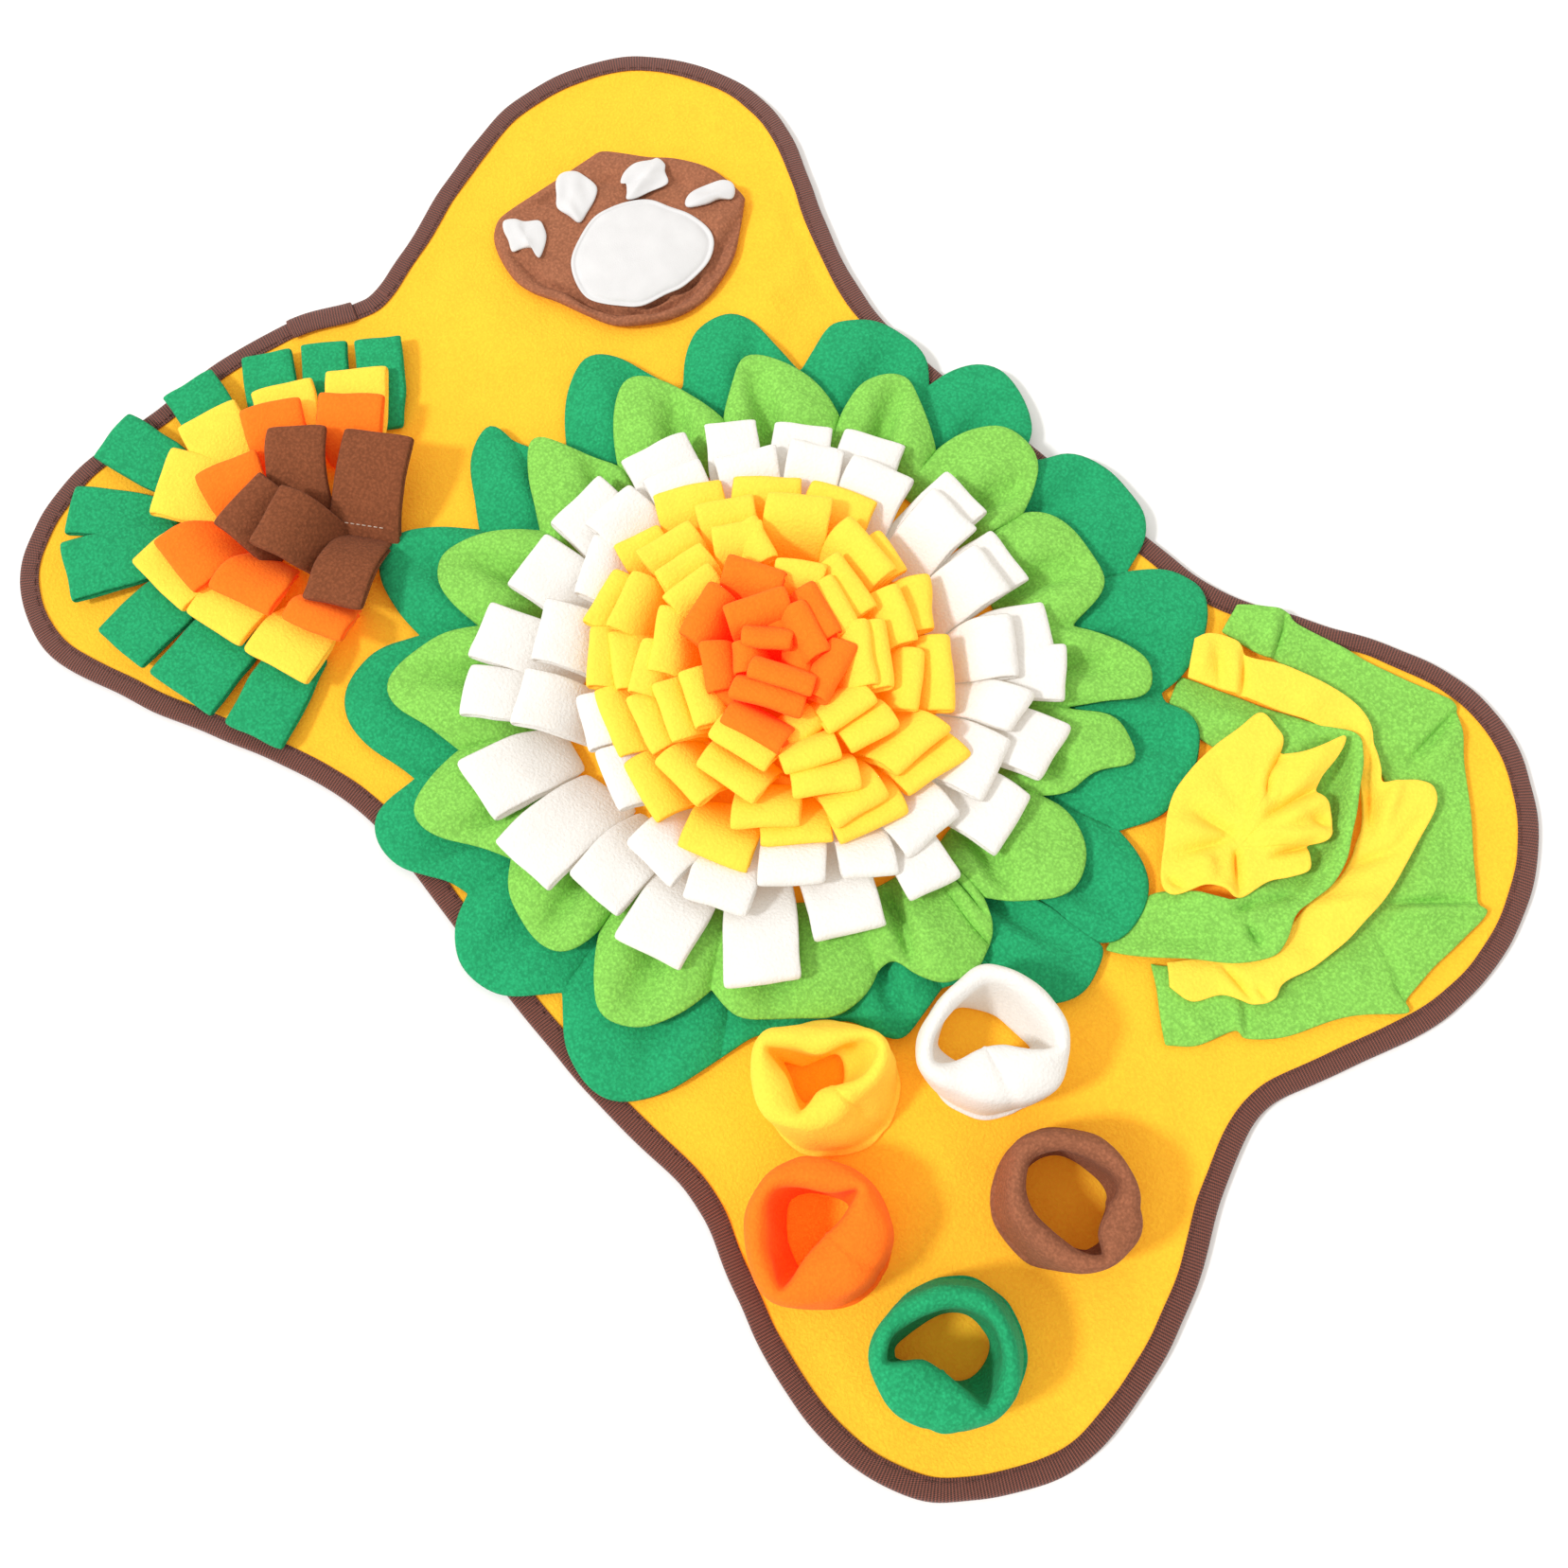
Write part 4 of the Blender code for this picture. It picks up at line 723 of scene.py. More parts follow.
class Finish:
    """A new material, with short ways to add its nodes and join them up."""

    def __init__(self, name):
        self.material = bpy.data.materials.new(name)
        self.material.use_nodes = True
        self.tree = self.material.node_tree
        self.shader = self.tree.nodes["Principled BSDF"]
        self.place = self.node("ShaderNodeTexCoord").outputs["Object"]

    def put(self, value, socket):
        """Links an output to the socket, or sets a plain value on it."""
        if hasattr(value, "links"):
            self.tree.links.new(value, socket)
        else:
            socket.default_value = value

    def put_all(self, made, inputs):
        for name, value in inputs.items():
            self.put(value, made.inputs[name.replace("_", " ")])

    def node(self, kind, **inputs):
        made = self.tree.nodes.new(kind)
        self.put_all(made, inputs)
        return made

    def shade(self, **inputs):
        self.put_all(self.shader, inputs)

    def math(self, operation, first, second=0.0):
        made = self.node("ShaderNodeMath")
        made.operation = operation
        self.put(first, made.inputs[0])
        self.put(second, made.inputs[1])
        return made.outputs[0]

    def mix(self, share, first, second):
        made = self.node("ShaderNodeMix")
        made.data_type = "RGBA"
        for number, value in ((0, share), (6, first), (7, second)):
            self.put(value, made.inputs[number])
        return made.outputs[2]

    def noise(self, scale, detail=2.0, roughness=0.5):
        made = self.node(
            "ShaderNodeTexNoise", Vector=self.place, Scale=scale, Detail=detail,
            Roughness=roughness)
        return made.outputs["Fac"]

    def spread(self, value, low, high, most=1.0):
        """The value's range from low to high, stretched to run from 0 to most."""
        made = self.node(
            "ShaderNodeMapRange", Value=value, From_Min=low, From_Max=high, To_Max=most)
        return made.outputs["Result"]

    def bump(self, height, strength, distance):
        made = self.node("ShaderNodeBump", Height=height, Strength=strength, Distance=distance)
        self.shade(Normal=made.outputs["Normal"])


def shade_of(colour, times):
    return (*(min(1.0, part * times) for part in colour), 1.0)


def fleece(context, cloth):
    """Matt fleece: a pebbled nap over a soft uneven pile, with painted highlight on its raised tufts and
    painted shade between them.
    """
    name = "soft_" + cloth
    if name in bpy.data.materials:
        return bpy.data.materials[name]
    pebble = context.scene.mat_sizes.pebble
    colour = getattr(context.scene.mat_colours, cloth)
    nap_tone_and_shade = NAP_TONE_AND_SHADE.get(cloth, FULL_TONE_AND_SHADE)
    finish = Finish(name)
    pebbles = finish.node("ShaderNodeTexVoronoi", Vector=finish.place, Scale=1 / (pebble * 1.3))
    pebbles.feature = "SMOOTH_F1"
    pebbles.inputs["Smoothness"].default_value = 0.6
    tufts = finish.math("SUBTRACT", 1.0, pebbles.outputs["Distance"])
    nap = finish.noise(1 / pebble, 3.0, 0.6)
    height = finish.math("ADD", finish.math("MULTIPLY", tufts, 0.5), nap)
    # The nap's tone follows the height of its bumps: painted highlight on the raised tufts and painted
    # shade between them.
    nap_tone_and_highlight = finish.mix(
        finish.spread(height, 0.62, 1.05), shade_of(colour, 1 - 0.2 * nap_tone_and_shade),
        shade_of(colour, 1 + 0.14 * nap_tone_and_shade))
    patches = finish.spread(finish.noise(60.0), 0.3, 0.7, 0.16)
    finish.bump(height, 0.5, 0.0011)
    # The emission below is painted light: a warm glow that lifts the shade in bright cloth's folds.
    finish.shade(
        Base_Color=finish.mix(patches, nap_tone_and_highlight, shade_of(colour, 1.25)), Roughness=0.95,
        Specular_IOR_Level=0.1, Sheen_Weight=0.03,
        Emission_Color=(*PAINTED_GLOW.get(cloth, (0, 0, 0)), 1.0), Emission_Strength=1.0)
    return finish.material


def webbing(context):
    """Woven tape: raised crosswise ribs, each crossed by fine slanting yarns, with painted highlight on
    their tops and painted shade between them.
    """
    rib, colour = context.scene.mat_sizes.rib, context.scene.mat_colours.webbing_brown
    finish = Finish("ribbed_webbing")
    place = finish.node("ShaderNodeSeparateXYZ", Vector=finish.node("ShaderNodeUVMap").outputs["UV"])
    along = finish.math("MULTIPLY", place.outputs["X"], 2 * pi / rib)
    across = finish.math("MULTIPLY", place.outputs["Y"], 2 * pi / (rib * 0.55))
    slant = finish.math("ADD", across, finish.math("MULTIPLY", along, 0.5))
    yarns = finish.math("MULTIPLY", finish.math("SINE", slant), 0.6)
    fuzz = finish.math("MULTIPLY", finish.noise(900.0), 0.8)
    height = finish.math("ADD", finish.math("ADD", finish.math("SINE", along), yarns), fuzz)
    # The tape's colour follows the ribs' height: painted highlight on their tops and painted shade between
    # them.
    rib_highlight_and_shade = finish.mix(
        finish.spread(height, -1.0, 2.0), shade_of(colour, 0.15), shade_of(colour, 2.3))
    finish.bump(height, 0.7, 0.0005)
    finish.shade(Base_Color=rib_highlight_and_shade, Roughness=0.6, Sheen_Weight=0.15)
    return finish.material


def smooth_knit(name, colour, pitch):
    """A close smooth knit, as on the paw's pads, or plain thread."""
    finish = Finish(name)
    loops = finish.node("ShaderNodeTexVoronoi", Vector=finish.place, Scale=1 / pitch)
    tone = finish.mix(finish.noise(70.0), shade_of(colour, 0.9), shade_of(colour, 1.05))
    finish.bump(loops.outputs["Distance"], 0.25, 0.0003)
    finish.shade(Base_Color=tone, Roughness=0.7, Sheen_Weight=0.2)
    return finish.material


# Stitches.

def sew_stitches(name, places, width, material, slot):
    """A row of stitches: one thread's bead, modelled once and copied to each place."""
    bpy.ops.mesh.primitive_cylinder_add(vertices=6, radius=width / 2, depth=STITCH_LENGTH)
    bead = bpy.context.object
    bpy.ops.object.mode_set(mode="EDIT")
    bpy.ops.mesh.select_all(action="SELECT")
    bpy.ops.mesh.bevel(offset=width * 0.3, segments=1, affect="EDGES")
    bpy.ops.object.mode_set(mode="OBJECT")
    work = bmesh.new()
    for middle, along in places:
        turn = Vector(along).to_track_quat("Z", "Y").to_matrix().to_4x4()
        copy = bead.data.copy()
        copy.transform(Matrix.Translation(Vector((np.asarray(middle) - BOX_MIDDLE) * MM)) @ turn)
        work.from_mesh(copy)
        bpy.data.meshes.remove(copy)
    mesh = bpy.data.meshes.new(name)
    work.to_mesh(mesh)
    work.free()
    bpy.data.objects.remove(bead)
    return dress(add_object(name, mesh), slot, material)


def drop_on(obj, x, y):
    """Where the sight line through this read point first meets the piece."""
    start, along = (EYE - BOX_MIDDLE) * MM, seen(x, y, 0.0) - EYE
    found, place, _, _ = obj.ray_cast(Vector(start), Vector(along))
    if not found:
        raise RuntimeError(f"no cloth of {obj.name} lies at {x}, {y}")
    return np.array(place) / MM + BOX_MIDDLE


def stitch_across(obj, start, end, context):
    """A row of pale stitches laid on the piece from one read point to the other."""
    pitch = context.scene.mat_sizes.stitch / MM
    start, run = np.array(start, float), np.subtract(end, start)
    shares = np.arange(0, np.linalg.norm(run), pitch) / np.linalg.norm(run)
    points = [drop_on(obj, *(start + run * share)) + (0, 0, 0.2) for share in shares]
    places = [(point, following - point) for point, following in zip(points, points[1:])]
    thread = smooth_knit("pale_thread", COLOURS["thread"], THREAD_PITCH)
    return sew_stitches("fan_stitches", places, PALE_THREAD, thread, "fleece_brown")


# The pieces.

class SNUFFLE_OT_base(bpy.types.Operator):
    """Lays the bone-shaped fleece base"""

    bl_idname = "snuffle.base"
    bl_label = "Base"

    def execute(self, context):
        outline = flat_curve(OUTLINE, OUTLINE_STEPS)
        rings = [inset_loop(outline, inset) for inset in BASE_INSETS]
        for ring in rings:
            ring[:, 2] = EDGE_LIFT
        flat = inset_loop(outline, BASE_FLAT_INSET)
        rings += [flat * (1 - step / BASE_RINGS) for step in range(BASE_RINGS + 1)]
        points = np.array(rings)
        rows = np.arange(len(rings))[:, None]
        creases = BASE_CREASE_DEPTH * crease_height(points, BASE_CREASES, BASE_TOP)
        points[..., 2] += creases * ease(3, 8, rows) + BASE_THICK / 2
        obj = sew_cloth(
            "fleece_base", [points], BASE_THICK * MM, levels=0, around=True, filled=True)
        dress(obj, "fleece_amber", fleece(context, "fleece_amber"), "base_mat")
        return {"FINISHED"}


def tape_rows(outline, section):
    """The outline's loop at each place across the tape: how far in it lies, and how high."""
    rows = np.array([inset_loop(outline, across) for across, _ in section])
    rows[..., 2] = np.array(section)[:, 1:]
    return rows


class SNUFFLE_OT_binding(bpy.types.Operator):
    """Folds the brown tape over the base's edge and stitches it down"""

    bl_idname = "snuffle.binding"
    bl_label = "Binding"

    def execute(self, context):
        width = context.scene.mat_sizes.tape_width / MM
        pitch = context.scene.mat_sizes.stitch / MM
        outline = flat_curve(OUTLINE, OUTLINE_STEPS)
        low, high = TAPE_THICK / 2, TAPE_HEIGHT - TAPE_THICK / 2
        section = [
            (width, low), (width - 1.2, low), (8.0, low), (4.0, low), (1.6, low), (0.7, 1.3),
            (0.5, TAPE_HEIGHT / 2), (0.7, TAPE_HEIGHT - 1.3), (1.6, high), (4.0, high + 0.1),
            (7.0, high + 0.1), (width - 2.6, high), (width - 1.6, high - 0.35), (width, high),
        ]
        grid = tape_rows(outline, section)
        inner_top = np.array([across > 6 and z > TAPE_HEIGHT / 2 for across, z in section])
        edge = np.arange(len(outline))
        grid[inner_top, :, 2] += TAPE_RIPPLE * np.sin(edge * 1.9) * np.sin(edge * 0.31)
        grid[..., :2] = wobble(grid, *TAPE_WAVES, 4.0)[..., :2]
        obj = sew_cloth("binding_tape", [grid], TAPE_LAYER * MM, around=True)
        lap = sew_cloth("lap", [tape_rows(outline, LAP_SECTION)[:, LAP]], TAPE_LAYER * MM)
        select_only(obj, lap)
        bpy.ops.object.join()
        dress(obj, "webbing_brown", webbing(context), "edge_binding")
        line = inset_loop(smooth_curve(outline[::4], 8, closed=True), width - SEAM_INSET)
        line[:, 2] = TAPE_HEIGHT + 0.15
        steps = np.linalg.norm(np.diff(line, axis=0), axis=1).cumsum()
        starts = np.searchsorted(steps, np.arange(0, steps[-1], pitch))
        places = [(line[i], line[i + 1] - line[i]) for i in np.minimum(starts, len(line) - 2)]
        thread = smooth_knit("binding_thread", COLOURS["webbing_brown"], THREAD_PITCH)
        seam = sew_stitches("binding_stitches", places, FINE_THREAD, thread, "webbing_brown")
        return {"FINISHED"}


def petal_columns(petal, root, height, low):
    """One petal from its root to its rim, with a fold down it and puffed sides."""
    points, trough, lean = petal
    rim = smooth_curve([seen(x, y, height) for x, y in points], 8)
    length = np.append(0.0, np.linalg.norm(np.diff(rim, axis=0), axis=1).cumsum())
    places = np.linspace(0, length[-1], PETAL_COLUMNS)
    rim = np.stack([np.interp(places, length, rim[:, k]) for k in range(3)], axis=1)
    start, end = on_circle(FLOWER, root, rim[0]), on_circle(FLOWER, root, rim[-1])
    share = np.linspace(0, 1, PETAL_COLUMNS)[:, None]
    inner = start + (end - start) * share
    t = np.linspace(0, 1, PETAL_ROWS)[:, None]
    grid = inner + (rim - inner) * t[..., None]
    rise = low + (height - low) * (1 - (1 - np.minimum(t * 1.6, 1)) ** 2)
    away = abs(2 * share[:, 0] - 1 - lean * (0.3 + 0.7 * t))
    fold = np.exp(-(away / FOLD_WIDTH) ** 2) * ease(0.0, 0.15, t) * (1 - ease(0.4, 1.0, t))
    puff = np.cos(pi * np.clip((away - PUFF_PLACE) / PUFF_WIDTH, -0.5, 0.5)) * ease(0, 0.3, t)
    puff *= 1 - RIM_FLATNESS * ease(0.5, 1.0, t)
    waves = trough * (PUFF_RISE * puff - FOLD_DEPTH * fold) - RIM_DROOP * t ** 5
    sink = NOTCH_SINK * abs(2 * share[:, 0] - 1) ** 6 * ease(0.3, 1.0, t)
    floor = low - 0.8 + (height - low) * LEAST_RISE * ease(0.2, 0.6, t)
    grid[..., 2] = np.maximum(rise + waves - sink, floor)
    return grid


class SNUFFLE_OT_petals(bpy.types.Operator):
    """Sews the two scalloped strips of petals, dark green under lime"""

    bl_idname = "snuffle.petals"
    bl_label = "Petals"

    def execute(self, context):
        for name, slot, petals, root, height, solid, seed in PETAL_STRIPS:
            columns = [petal_columns(petal, root, height, BASE_TOP + CLOTH_CLEAR) for petal in petals]
            grid = wobble(np.concatenate(columns, axis=1), *PETAL_WAVES, seed)
            obj = sew_fleece(context, name, [grid], slot, solid, around=True)
        return {"FINISHED"}


def tip_and_root(tab, height, run):
    """The two corners of a tab's folded edge, and those of its root straight behind them."""
    start, end = seen(tab.start_x, tab.start_y, height), seen(tab.end_x, tab.end_y, height)
    side = unit(end - start)
    inward = np.array([-side[1], side[0], 0.0])
    return [start, end, start + inward * run, end + inward * run]


def narrow_root(corners, share):
    """Draws the root's two corners together, to this share of their distance."""
    shift = (corners[3] - corners[2]) * (1 - share) / 2
    corners[2], corners[3] = corners[2] + shift, corners[3] - shift


def folded_tab(corners, low, high, half_gap, arch, bow):
    """A strip folded double: out along its lower layer, round the fold and back on top."""
    tip_start, tip_end, root_start, root_end = corners
    share = np.linspace(0, 1, TAB_ROWS)[:, None, None]
    side = np.linspace(0, 1, TAB_COLUMNS)[None, :, None]
    out = unit((tip_start + tip_end - root_start - root_end) * np.array([1, 1, 0]))
    tip_start, tip_end = tip_start - out * half_gap, tip_end - out * half_gap
    root, tip = (root_start + root_end) / 2, (tip_start + tip_end) / 2
    root_width, tip_width = root_end - root_start, tip_end - tip_start
    width = root_width + (tip_width - root_width) * ease(0, 0.5, share)
    middle = root + (tip - root) * share + width * (side - 0.5)
    middle[..., 2] = low + (high - low) * (1 - (1 - share[..., 0]) ** arch)
    middle[..., 2] += bow * np.sin(pi * side[..., 0]) * share[..., 0]
    along = unit(np.gradient(middle, axis=0))
    up = unit(np.cross(along, unit(np.gradient(middle, axis=1))))
    if up[..., 2].mean() < 0:
        up = -up
    belly = ROOT_GAP + (half_gap - ROOT_GAP) * ease(0.0, 0.8, share)
    turns = np.linspace(-pi / 2, pi / 2, FOLD_ROWS + 2)[1:-1][:, None, None]
    fold = middle[-1:] + (along[-1:] * np.cos(turns) + up[-1:] * np.sin(turns)) * half_gap
    return np.concatenate([middle - up * belly, fold, (middle + up * belly)[::-1]])


def uneven_tab(corners, low, height, half_gap, arch, bow, rng):
    grid = folded_tab(corners, low, height, half_gap, arch, bow)
    return wobble(grid, *TAB_WAVES, rng.uniform(*ANY_SEED))


def ring_grids(ring, rng):
    """A ring of folded loops. In a full ring each root runs on into the next one's."""
    heights = [ring.height + loop.lift + rng.uniform(*LOOP_LIFTS) for loop in ring.loops]
    corners = [
        tip_and_root(loop, height, ring.run * rng.uniform(*LOOP_RUNS))
        for loop, height in zip(ring.loops, heights)
    ]
    for this, following in zip(corners, corners[1:] + corners[:1]):
        if len(corners) < FULL_RING or np.linalg.norm(following[0] - this[1]) > CUT_GAP:
            narrow_root(this, ROOT_SHARE)
        else:
            this[3] = following[2] = (this[3] + following[2]) / 2
    return [
        uneven_tab(
            places, BASE_TOP + LOOP_ROOT, height, ring.half_gap * rng.uniform(*LOOP_GAPS),
            ring.arch, rng.uniform(*LOOP_BOWS), rng)
        for places, height in zip(corners, heights)
    ]


class SNUFFLE_OT_loops(bpy.types.Operator):
    """Sews the rings of white, yellow and orange loops"""

    bl_idname = "snuffle.loops"
    bl_label = "Loops"

    def execute(self, context):
        for number, ring in enumerate(RINGS):
            grids = ring_grids(ring, np.random.default_rng(FIRST_RING_SEED + number))
            name = ring.name.replace("loops", "folded_loops")
            obj = sew_fleece(context, name, grids, ring.slot, ring.name)
        return {"FINISHED"}


def fan_grids(fan, rng):
    """One strip of the fan: flat tabs, folded double, over a narrower root."""
    grids = []
    for tab in fan.tabs:
        height = fan.height + tab.lift
        corners = tip_and_root(tab, height, tab.run)
        narrow_root(corners, fan.root_share)
        grids.append(uneven_tab(
            corners, BASE_TOP + TAB_ROOT, height, fan.half_gap * rng.uniform(*TAB_GAPS),
            FAN_ARCH, rng.uniform(*TAB_BOWS), rng))
    return grids


class SNUFFLE_OT_fan(bpy.types.Operator):
    """Sews the corner fan: flat tabs of green, yellow, orange and brown"""

    bl_idname = "snuffle.fan"
    bl_label = "Fan"

    def execute(self, context):
        rng = np.random.default_rng(FAN_SEED)
        for fan in FANS:
            cloth = "tab_brown" if fan.slot == "fleece_brown" else fan.slot
            name = fan.name.replace("fan", "fan_tabs")
            obj = sew_fleece(context, name, fan_grids(fan, rng), fan.slot, fan.name, cloth)
            if fan.name == "fan_brown_back":
                stitch_across(obj, *FAN_SEAM, context)
        return {"FINISHED"}


def band_grid(band, seed):
    """A pleated band: flat between its folds, with a soft bow across it and sharp creases."""
    outer = smooth_curve([seen(*fold[:3]) for fold in band.folds], BAND_STEPS)
    inner = smooth_curve([seen(*fold[3:]) for fold in band.folds], BAND_STEPS)
    share = np.linspace(0, 1, BAND_ROWS)[:, None, None]
    grid = outer + (inner - outer) * share
    share = share[..., 0]
    grid[..., 2] = outer[:, 2] + (inner[:, 2] - outer[:, 2]) * ease(0, band.drop, share)
    grid[..., 2] += BAND_BOW * np.sin(pi * share)
    grid[..., 2] += PLEAT_DEPTH * crease_height(grid, band.creases, grid[..., 2].mean())
    grid = wobble(grid, *BAND_WAVES, seed)
    grid[..., 2] = np.maximum(grid[..., 2], BASE_TOP + CLOTH_CLEAR)
    return grid


def heart_grid():
    """The crumpled heart: rings drawn in from its rim to the knot in its middle."""
    rim = smooth_curve([seen(*point) for point in HEART], HEART_STEPS, closed=True)
    share = np.linspace(0, 1, HEART_ROWS)[:, None, None]
    grid = rim + (seen(*HEART_KNOT) - rim) * share
    share = share[..., 0]
    grid[..., 2] += HEART_BOW * np.sin(pi * share)
    creases = HEART_DEPTH * crease_height(grid, HEART_CREASES, HEART_LEVEL)
    grid[..., 2] += creases * ease(0.0, 0.2, 1 - share)
    return wobble(grid, *HEART_WAVES, 5.0)


class SNUFFLE_OT_cabbage(bpy.types.Operator):
    """Pleats the cabbage's bands round its crumpled heart"""

    bl_idname = "snuffle.cabbage"
    bl_label = "Cabbage"

    def execute(self, context):
        for number, band in enumerate(CABBAGE):
            grid = band_grid(band, 7.0 + 13 * number)
            obj = sew_fleece(context, band.name, [grid], band.slot, band.solid)
        heart = sew_fleece(
            context, "cabbage_heart_flap", [heart_grid()], "fleece_yellow", "cabbage_heart",
            around=True, filled=True)
        return {"FINISHED"}


def pillow_object(name, outline, steps, levels, creases, softness):
    """A closed soft piece: its outline drawn in level by level to a crowned middle."""
    flat = flat_curve(outline, steps)
    middle = flat.mean(axis=0)
    grid = np.array([
        [seen(x, y, z) for x, y, _ in middle + (flat - middle) * share] for share, z in levels
    ])
    rows = np.arange(len(levels))[:, None]
    # The underside stays flat: creases begin at the highest level that is nearly full width.
    brim = [z for _, z in levels].index(max(z for share, z in levels if share > 0.99))
    uneven = wobble(grid, PILLOW_WAVE, softness, 9.0)[..., 2] - grid[..., 2]
    uneven += crease_height(grid, creases, levels[-1][1])
    grid[..., 2] += uneven * ease(brim, brim + 2, rows)
    obj = add_grids(name, [grid], around=True)
    face_outward(obj, join=True)
    apply_modifier(obj, "SUBSURF", levels=1, render_levels=1)
    return obj


class SNUFFLE_OT_paw(bpy.types.Operator):
    """Sews the padded paw, its white pad and its four toes"""

    bl_idname = "snuffle.paw"
    bl_label = "Paw"

    def execute(self, context):
        pouch = pillow_object("paw_pouch_padded", PAW_POUCH, 6, POUCH_LEVELS, POUCH_CREASES, 2.4)
        dress(pouch, "fleece_brown", fleece(context, "fleece_brown"), "paw_pouch")
        knit = smooth_knit("pad_white", COLOURS["pad_white"], PAD_PITCH)
        pad = pillow_object("paw_pad_white", PAW_PAD, 6, PAD_LEVELS, PAD_CREASES, 0.5)
        dress(pad, "fleece_white", knit, "paw_pad")
        for number, (toe, creases) in enumerate(zip(PAW_TOES, TOE_CREASES), 1):
            obj = pillow_object(f"paw_toe_tuft_{number}", toe, 4, TOE_LEVELS, creases, 0.8)
            dress(obj, "fleece_white", knit, f"paw_toe_{number}")
        return {"FINISHED"}


def reach_of(points, middle, z, bearings):
    """How far a closed curve, seen at this height, lies from the middle on each bearing."""
    curve = smooth_curve([seen(x, y, z)[:2] for x, y in points], 24, closed=True)
    curve = curve - seen(*middle, z)[:2]
    angles = np.arctan2(curve[:, 1], curve[:, 0])
    order = np.argsort(angles)
    return np.interp(
        bearings, angles[order], np.linalg.norm(curve, axis=1)[order], period=2 * pi)


def cup_grid(cup, seed):
    """A tube folded double: up its outside, over the soft rim and down its inside."""
    bearings = np.arange(CUP_SIDES) * 2 * pi / CUP_SIDES
    out = np.stack([np.cos(bearings), np.sin(bearings), 0 * bearings], axis=1)
    shoulder, floor = CUP_HEIGHT - SHOULDER_DROP, BASE_TOP + FOOT_HEIGHT
    outer = reach_of(cup.outer, cup.middle, shoulder, bearings)
    lip = np.minimum(reach_of(cup.lip, cup.middle, shoulder, bearings), outer - LEAST_RIM)
    hole = np.minimum(reach_of(cup.hole, cup.middle, floor, bearings), MOST_HOLE)

    def ring(middle, reach, z):
        made = middle + out * np.reshape(reach, (-1, 1))
        made[:, 2] = z
        return made

    outer_ring = ring(seen(*cup.middle, shoulder), outer - 1.2, shoulder)
    lip_ring = ring(seen(*cup.middle, shoulder), lip, shoulder - ROLL_DROP)
    foot_ring = ring(np.array([*cup.foot, floor]), CUP_FOOT, floor)
    hole_ring = ring(seen(*cup.middle, floor), hole, floor + 0.5)
    hole_ring += (foot_ring - hole_ring) * HOLE_SHIFT
    rows = [foot_ring + out * flare for flare in FOOT_FLARE]
    for share in WALL_LEVELS:
        wall = foot_ring + (outer_ring - foot_ring) * share
        rows.append(wall + out * (WALL_BOW * sin(pi * share) - WALL_TUCK * (share < 0.1)))
    for turn in np.linspace(0, pi, RIM_ROWS):
        roll = outer_ring + (lip_ring - outer_ring) * (1 - cos(turn)) / 2
        rise = (RIM_RISE + RIM_SPREAD * (outer - lip)) * sin(turn) ** 0.75
        roll[:, 2] += rise * (1 - 0.25 * cos(turn) ** 2)
        rows.append(roll)
    for share in LINING_LEVELS:
        wall = lip_ring + (hole_ring - lip_ring) * share
        rows.append(wall + out * LINING_BOW * sin(pi * share))
    grid = wobble(np.array(rows), *CUP_WAVES, seed)
    turned = (bearings - radians(cup.seam) + pi) % (2 * pi) - pi
    groove = np.exp(-(turned / SEAM_WIDTH) ** 2)
    grid -= groove[:, None] * (out * SEAM_DEPTH + np.array([0, 0, SEAM_DIP]))
    grid[..., 2] = np.maximum(grid[..., 2], floor - 0.2)
    return grid


class SNUFFLE_OT_cups(bpy.types.Operator):
    """Folds and sews the five treat cups"""

    bl_idname = "snuffle.cups"
    bl_label = "Cups"

    def execute(self, context):
        for number, cup in enumerate(CUPS):
            cloth = "cup_brown" if cup.slot == "fleece_brown" else cup.slot
            grid, name = cup_grid(cup, 3.0 * number), cup.name.replace("cup", "folded_cup")
            obj = sew_fleece(context, name, [grid], cup.slot, cup.name, cloth, around=True)
        return {"FINISHED"}


def place_light(name, light, place):
    obj = add_object(name, light)
    obj.location = place
    obj.rotation_euler = (-Vector(place)).to_track_quat("-Z", "Y").to_euler()


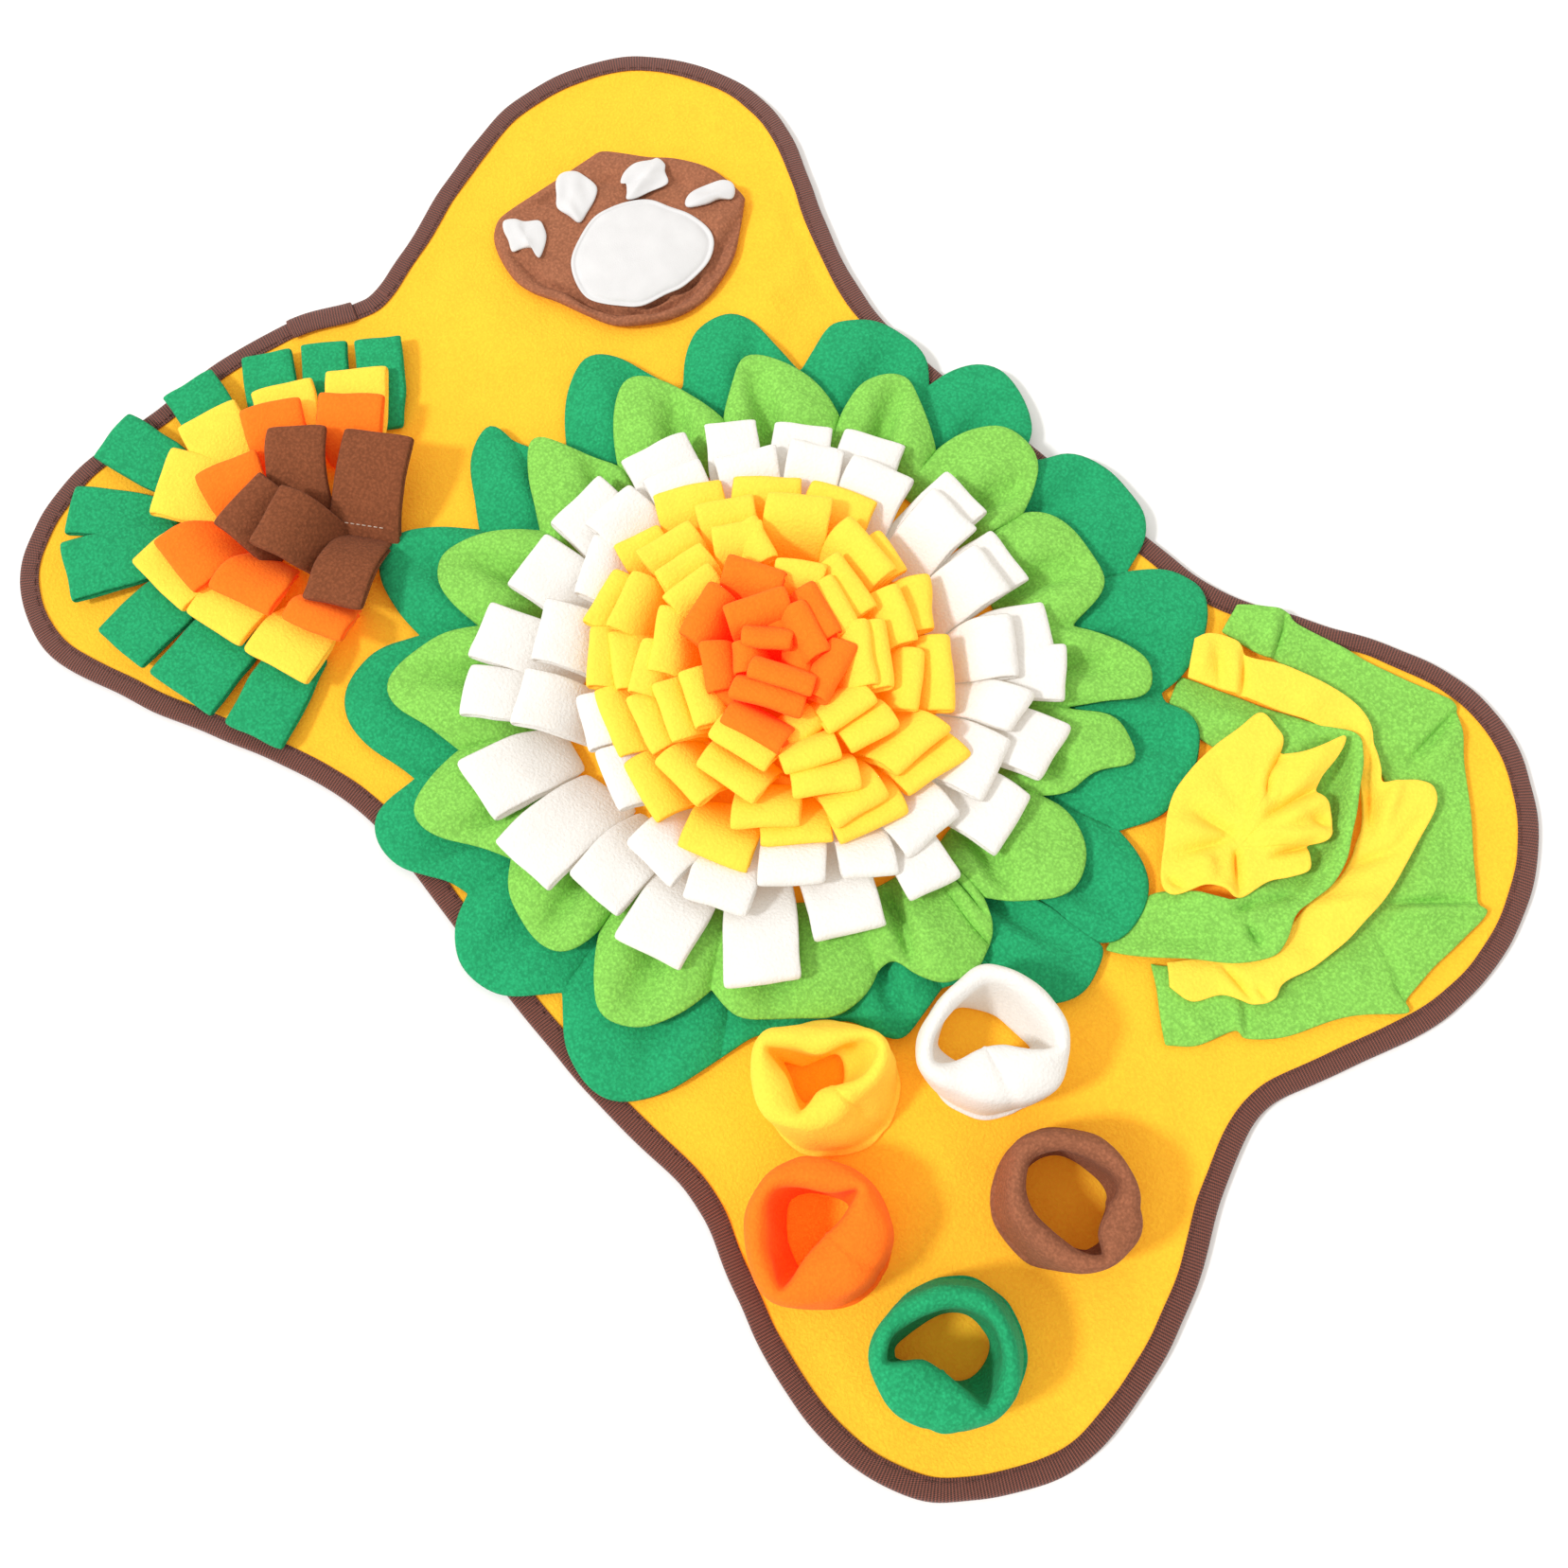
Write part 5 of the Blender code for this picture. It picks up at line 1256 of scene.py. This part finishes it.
class SNUFFLE_OT_stage(bpy.types.Operator):
    """Sets the pale floor, the soft studio lights and the camera"""

    bl_idname = "snuffle.stage"
    bl_label = "Stage"

    def execute(self, context):
        bpy.ops.object.select_all(action="DESELECT")
        bpy.ops.mesh.primitive_plane_add(size=FLOOR_SIZE, location=(0, 0, FLOOR_LEVEL))
        floor = context.object
        floor.name = "floor"
        finish = Finish("pale_floor")
        finish.shade(Base_Color=finish.mix(finish.noise(3.0), *FLOOR_TONES), Roughness=0.9)
        floor.data.materials.append(finish.material)

        world = bpy.data.worlds.new("studio")
        context.scene.world = world
        world.use_nodes = True
        background = world.node_tree.nodes["Background"]
        background.inputs["Color"].default_value = SKY_COLOUR
        background.inputs["Strength"].default_value = SKY_STRENGTH
        key = bpy.data.lights.new("key", "SUN")
        key.energy, key.angle, key.color = KEY_ENERGY, KEY_ANGLE, KEY_COLOUR
        place_light("key", key, KEY_PLACE)
        fill = bpy.data.lights.new("fill", "AREA")
        fill.energy, fill.size = FILL_ENERGY, FILL_SIZE
        place_light("fill", fill, FILL_PLACE)

        camera = add_object("camera", bpy.data.cameras.new("camera"))
        camera.data.lens = camera.data.sensor_width = LENS
        camera.matrix_world = Matrix((
            (*CAMERA_RIGHT, 0), (*CAMERA_UP, 0), (*CAMERA_BACK, 0), (0, 0, 0, 1),
        )).transposed()
        camera.location = CAMERA_PLACE
        context.scene.camera = camera
        context.scene.view_settings.view_transform = "Standard"
        return {"FINISHED"}


class SNUFFLE_PT_panel(bpy.types.Panel):
    bl_label = "Snuffle Mat"
    bl_idname = "SNUFFLE_PT_panel"
    bl_space_type = "VIEW_3D"
    bl_region_type = "UI"
    bl_category = "Snuffle Mat"

    def draw(self, context):
        for group in (context.scene.mat_sizes, context.scene.mat_colours):
            for key in group.bl_rna.properties.keys():
                if key not in ("rna_type", "name"):
                    self.layout.prop(group, key)
        for operator in OPERATORS:
            self.layout.operator(operator.bl_idname)


OPERATORS = (
    SNUFFLE_OT_base, SNUFFLE_OT_binding, SNUFFLE_OT_petals, SNUFFLE_OT_loops, SNUFFLE_OT_fan,
    SNUFFLE_OT_cabbage, SNUFFLE_OT_paw, SNUFFLE_OT_cups, SNUFFLE_OT_stage,
)
CLASSES = (MatSizes, MatColours, *OPERATORS, SNUFFLE_PT_panel)


def register():
    for cls in CLASSES:
        bpy.utils.register_class(cls)
    bpy.types.Scene.mat_sizes = PointerProperty(type=MatSizes)
    bpy.types.Scene.mat_colours = PointerProperty(type=MatColours)


def unregister():
    del bpy.types.Scene.mat_colours
    del bpy.types.Scene.mat_sizes
    for cls in reversed(CLASSES):
        bpy.utils.unregister_class(cls)


def main():
    register()
    bpy.ops.object.select_all(action="DESELECT")
    bpy.ops.snuffle.base()
    bpy.ops.snuffle.binding()
    bpy.ops.snuffle.petals()
    bpy.ops.snuffle.loops()
    bpy.ops.snuffle.fan()
    bpy.ops.snuffle.cabbage()
    bpy.ops.snuffle.paw()
    bpy.ops.snuffle.cups()
    bpy.ops.snuffle.stage()


if __name__ == "__main__":
    main()
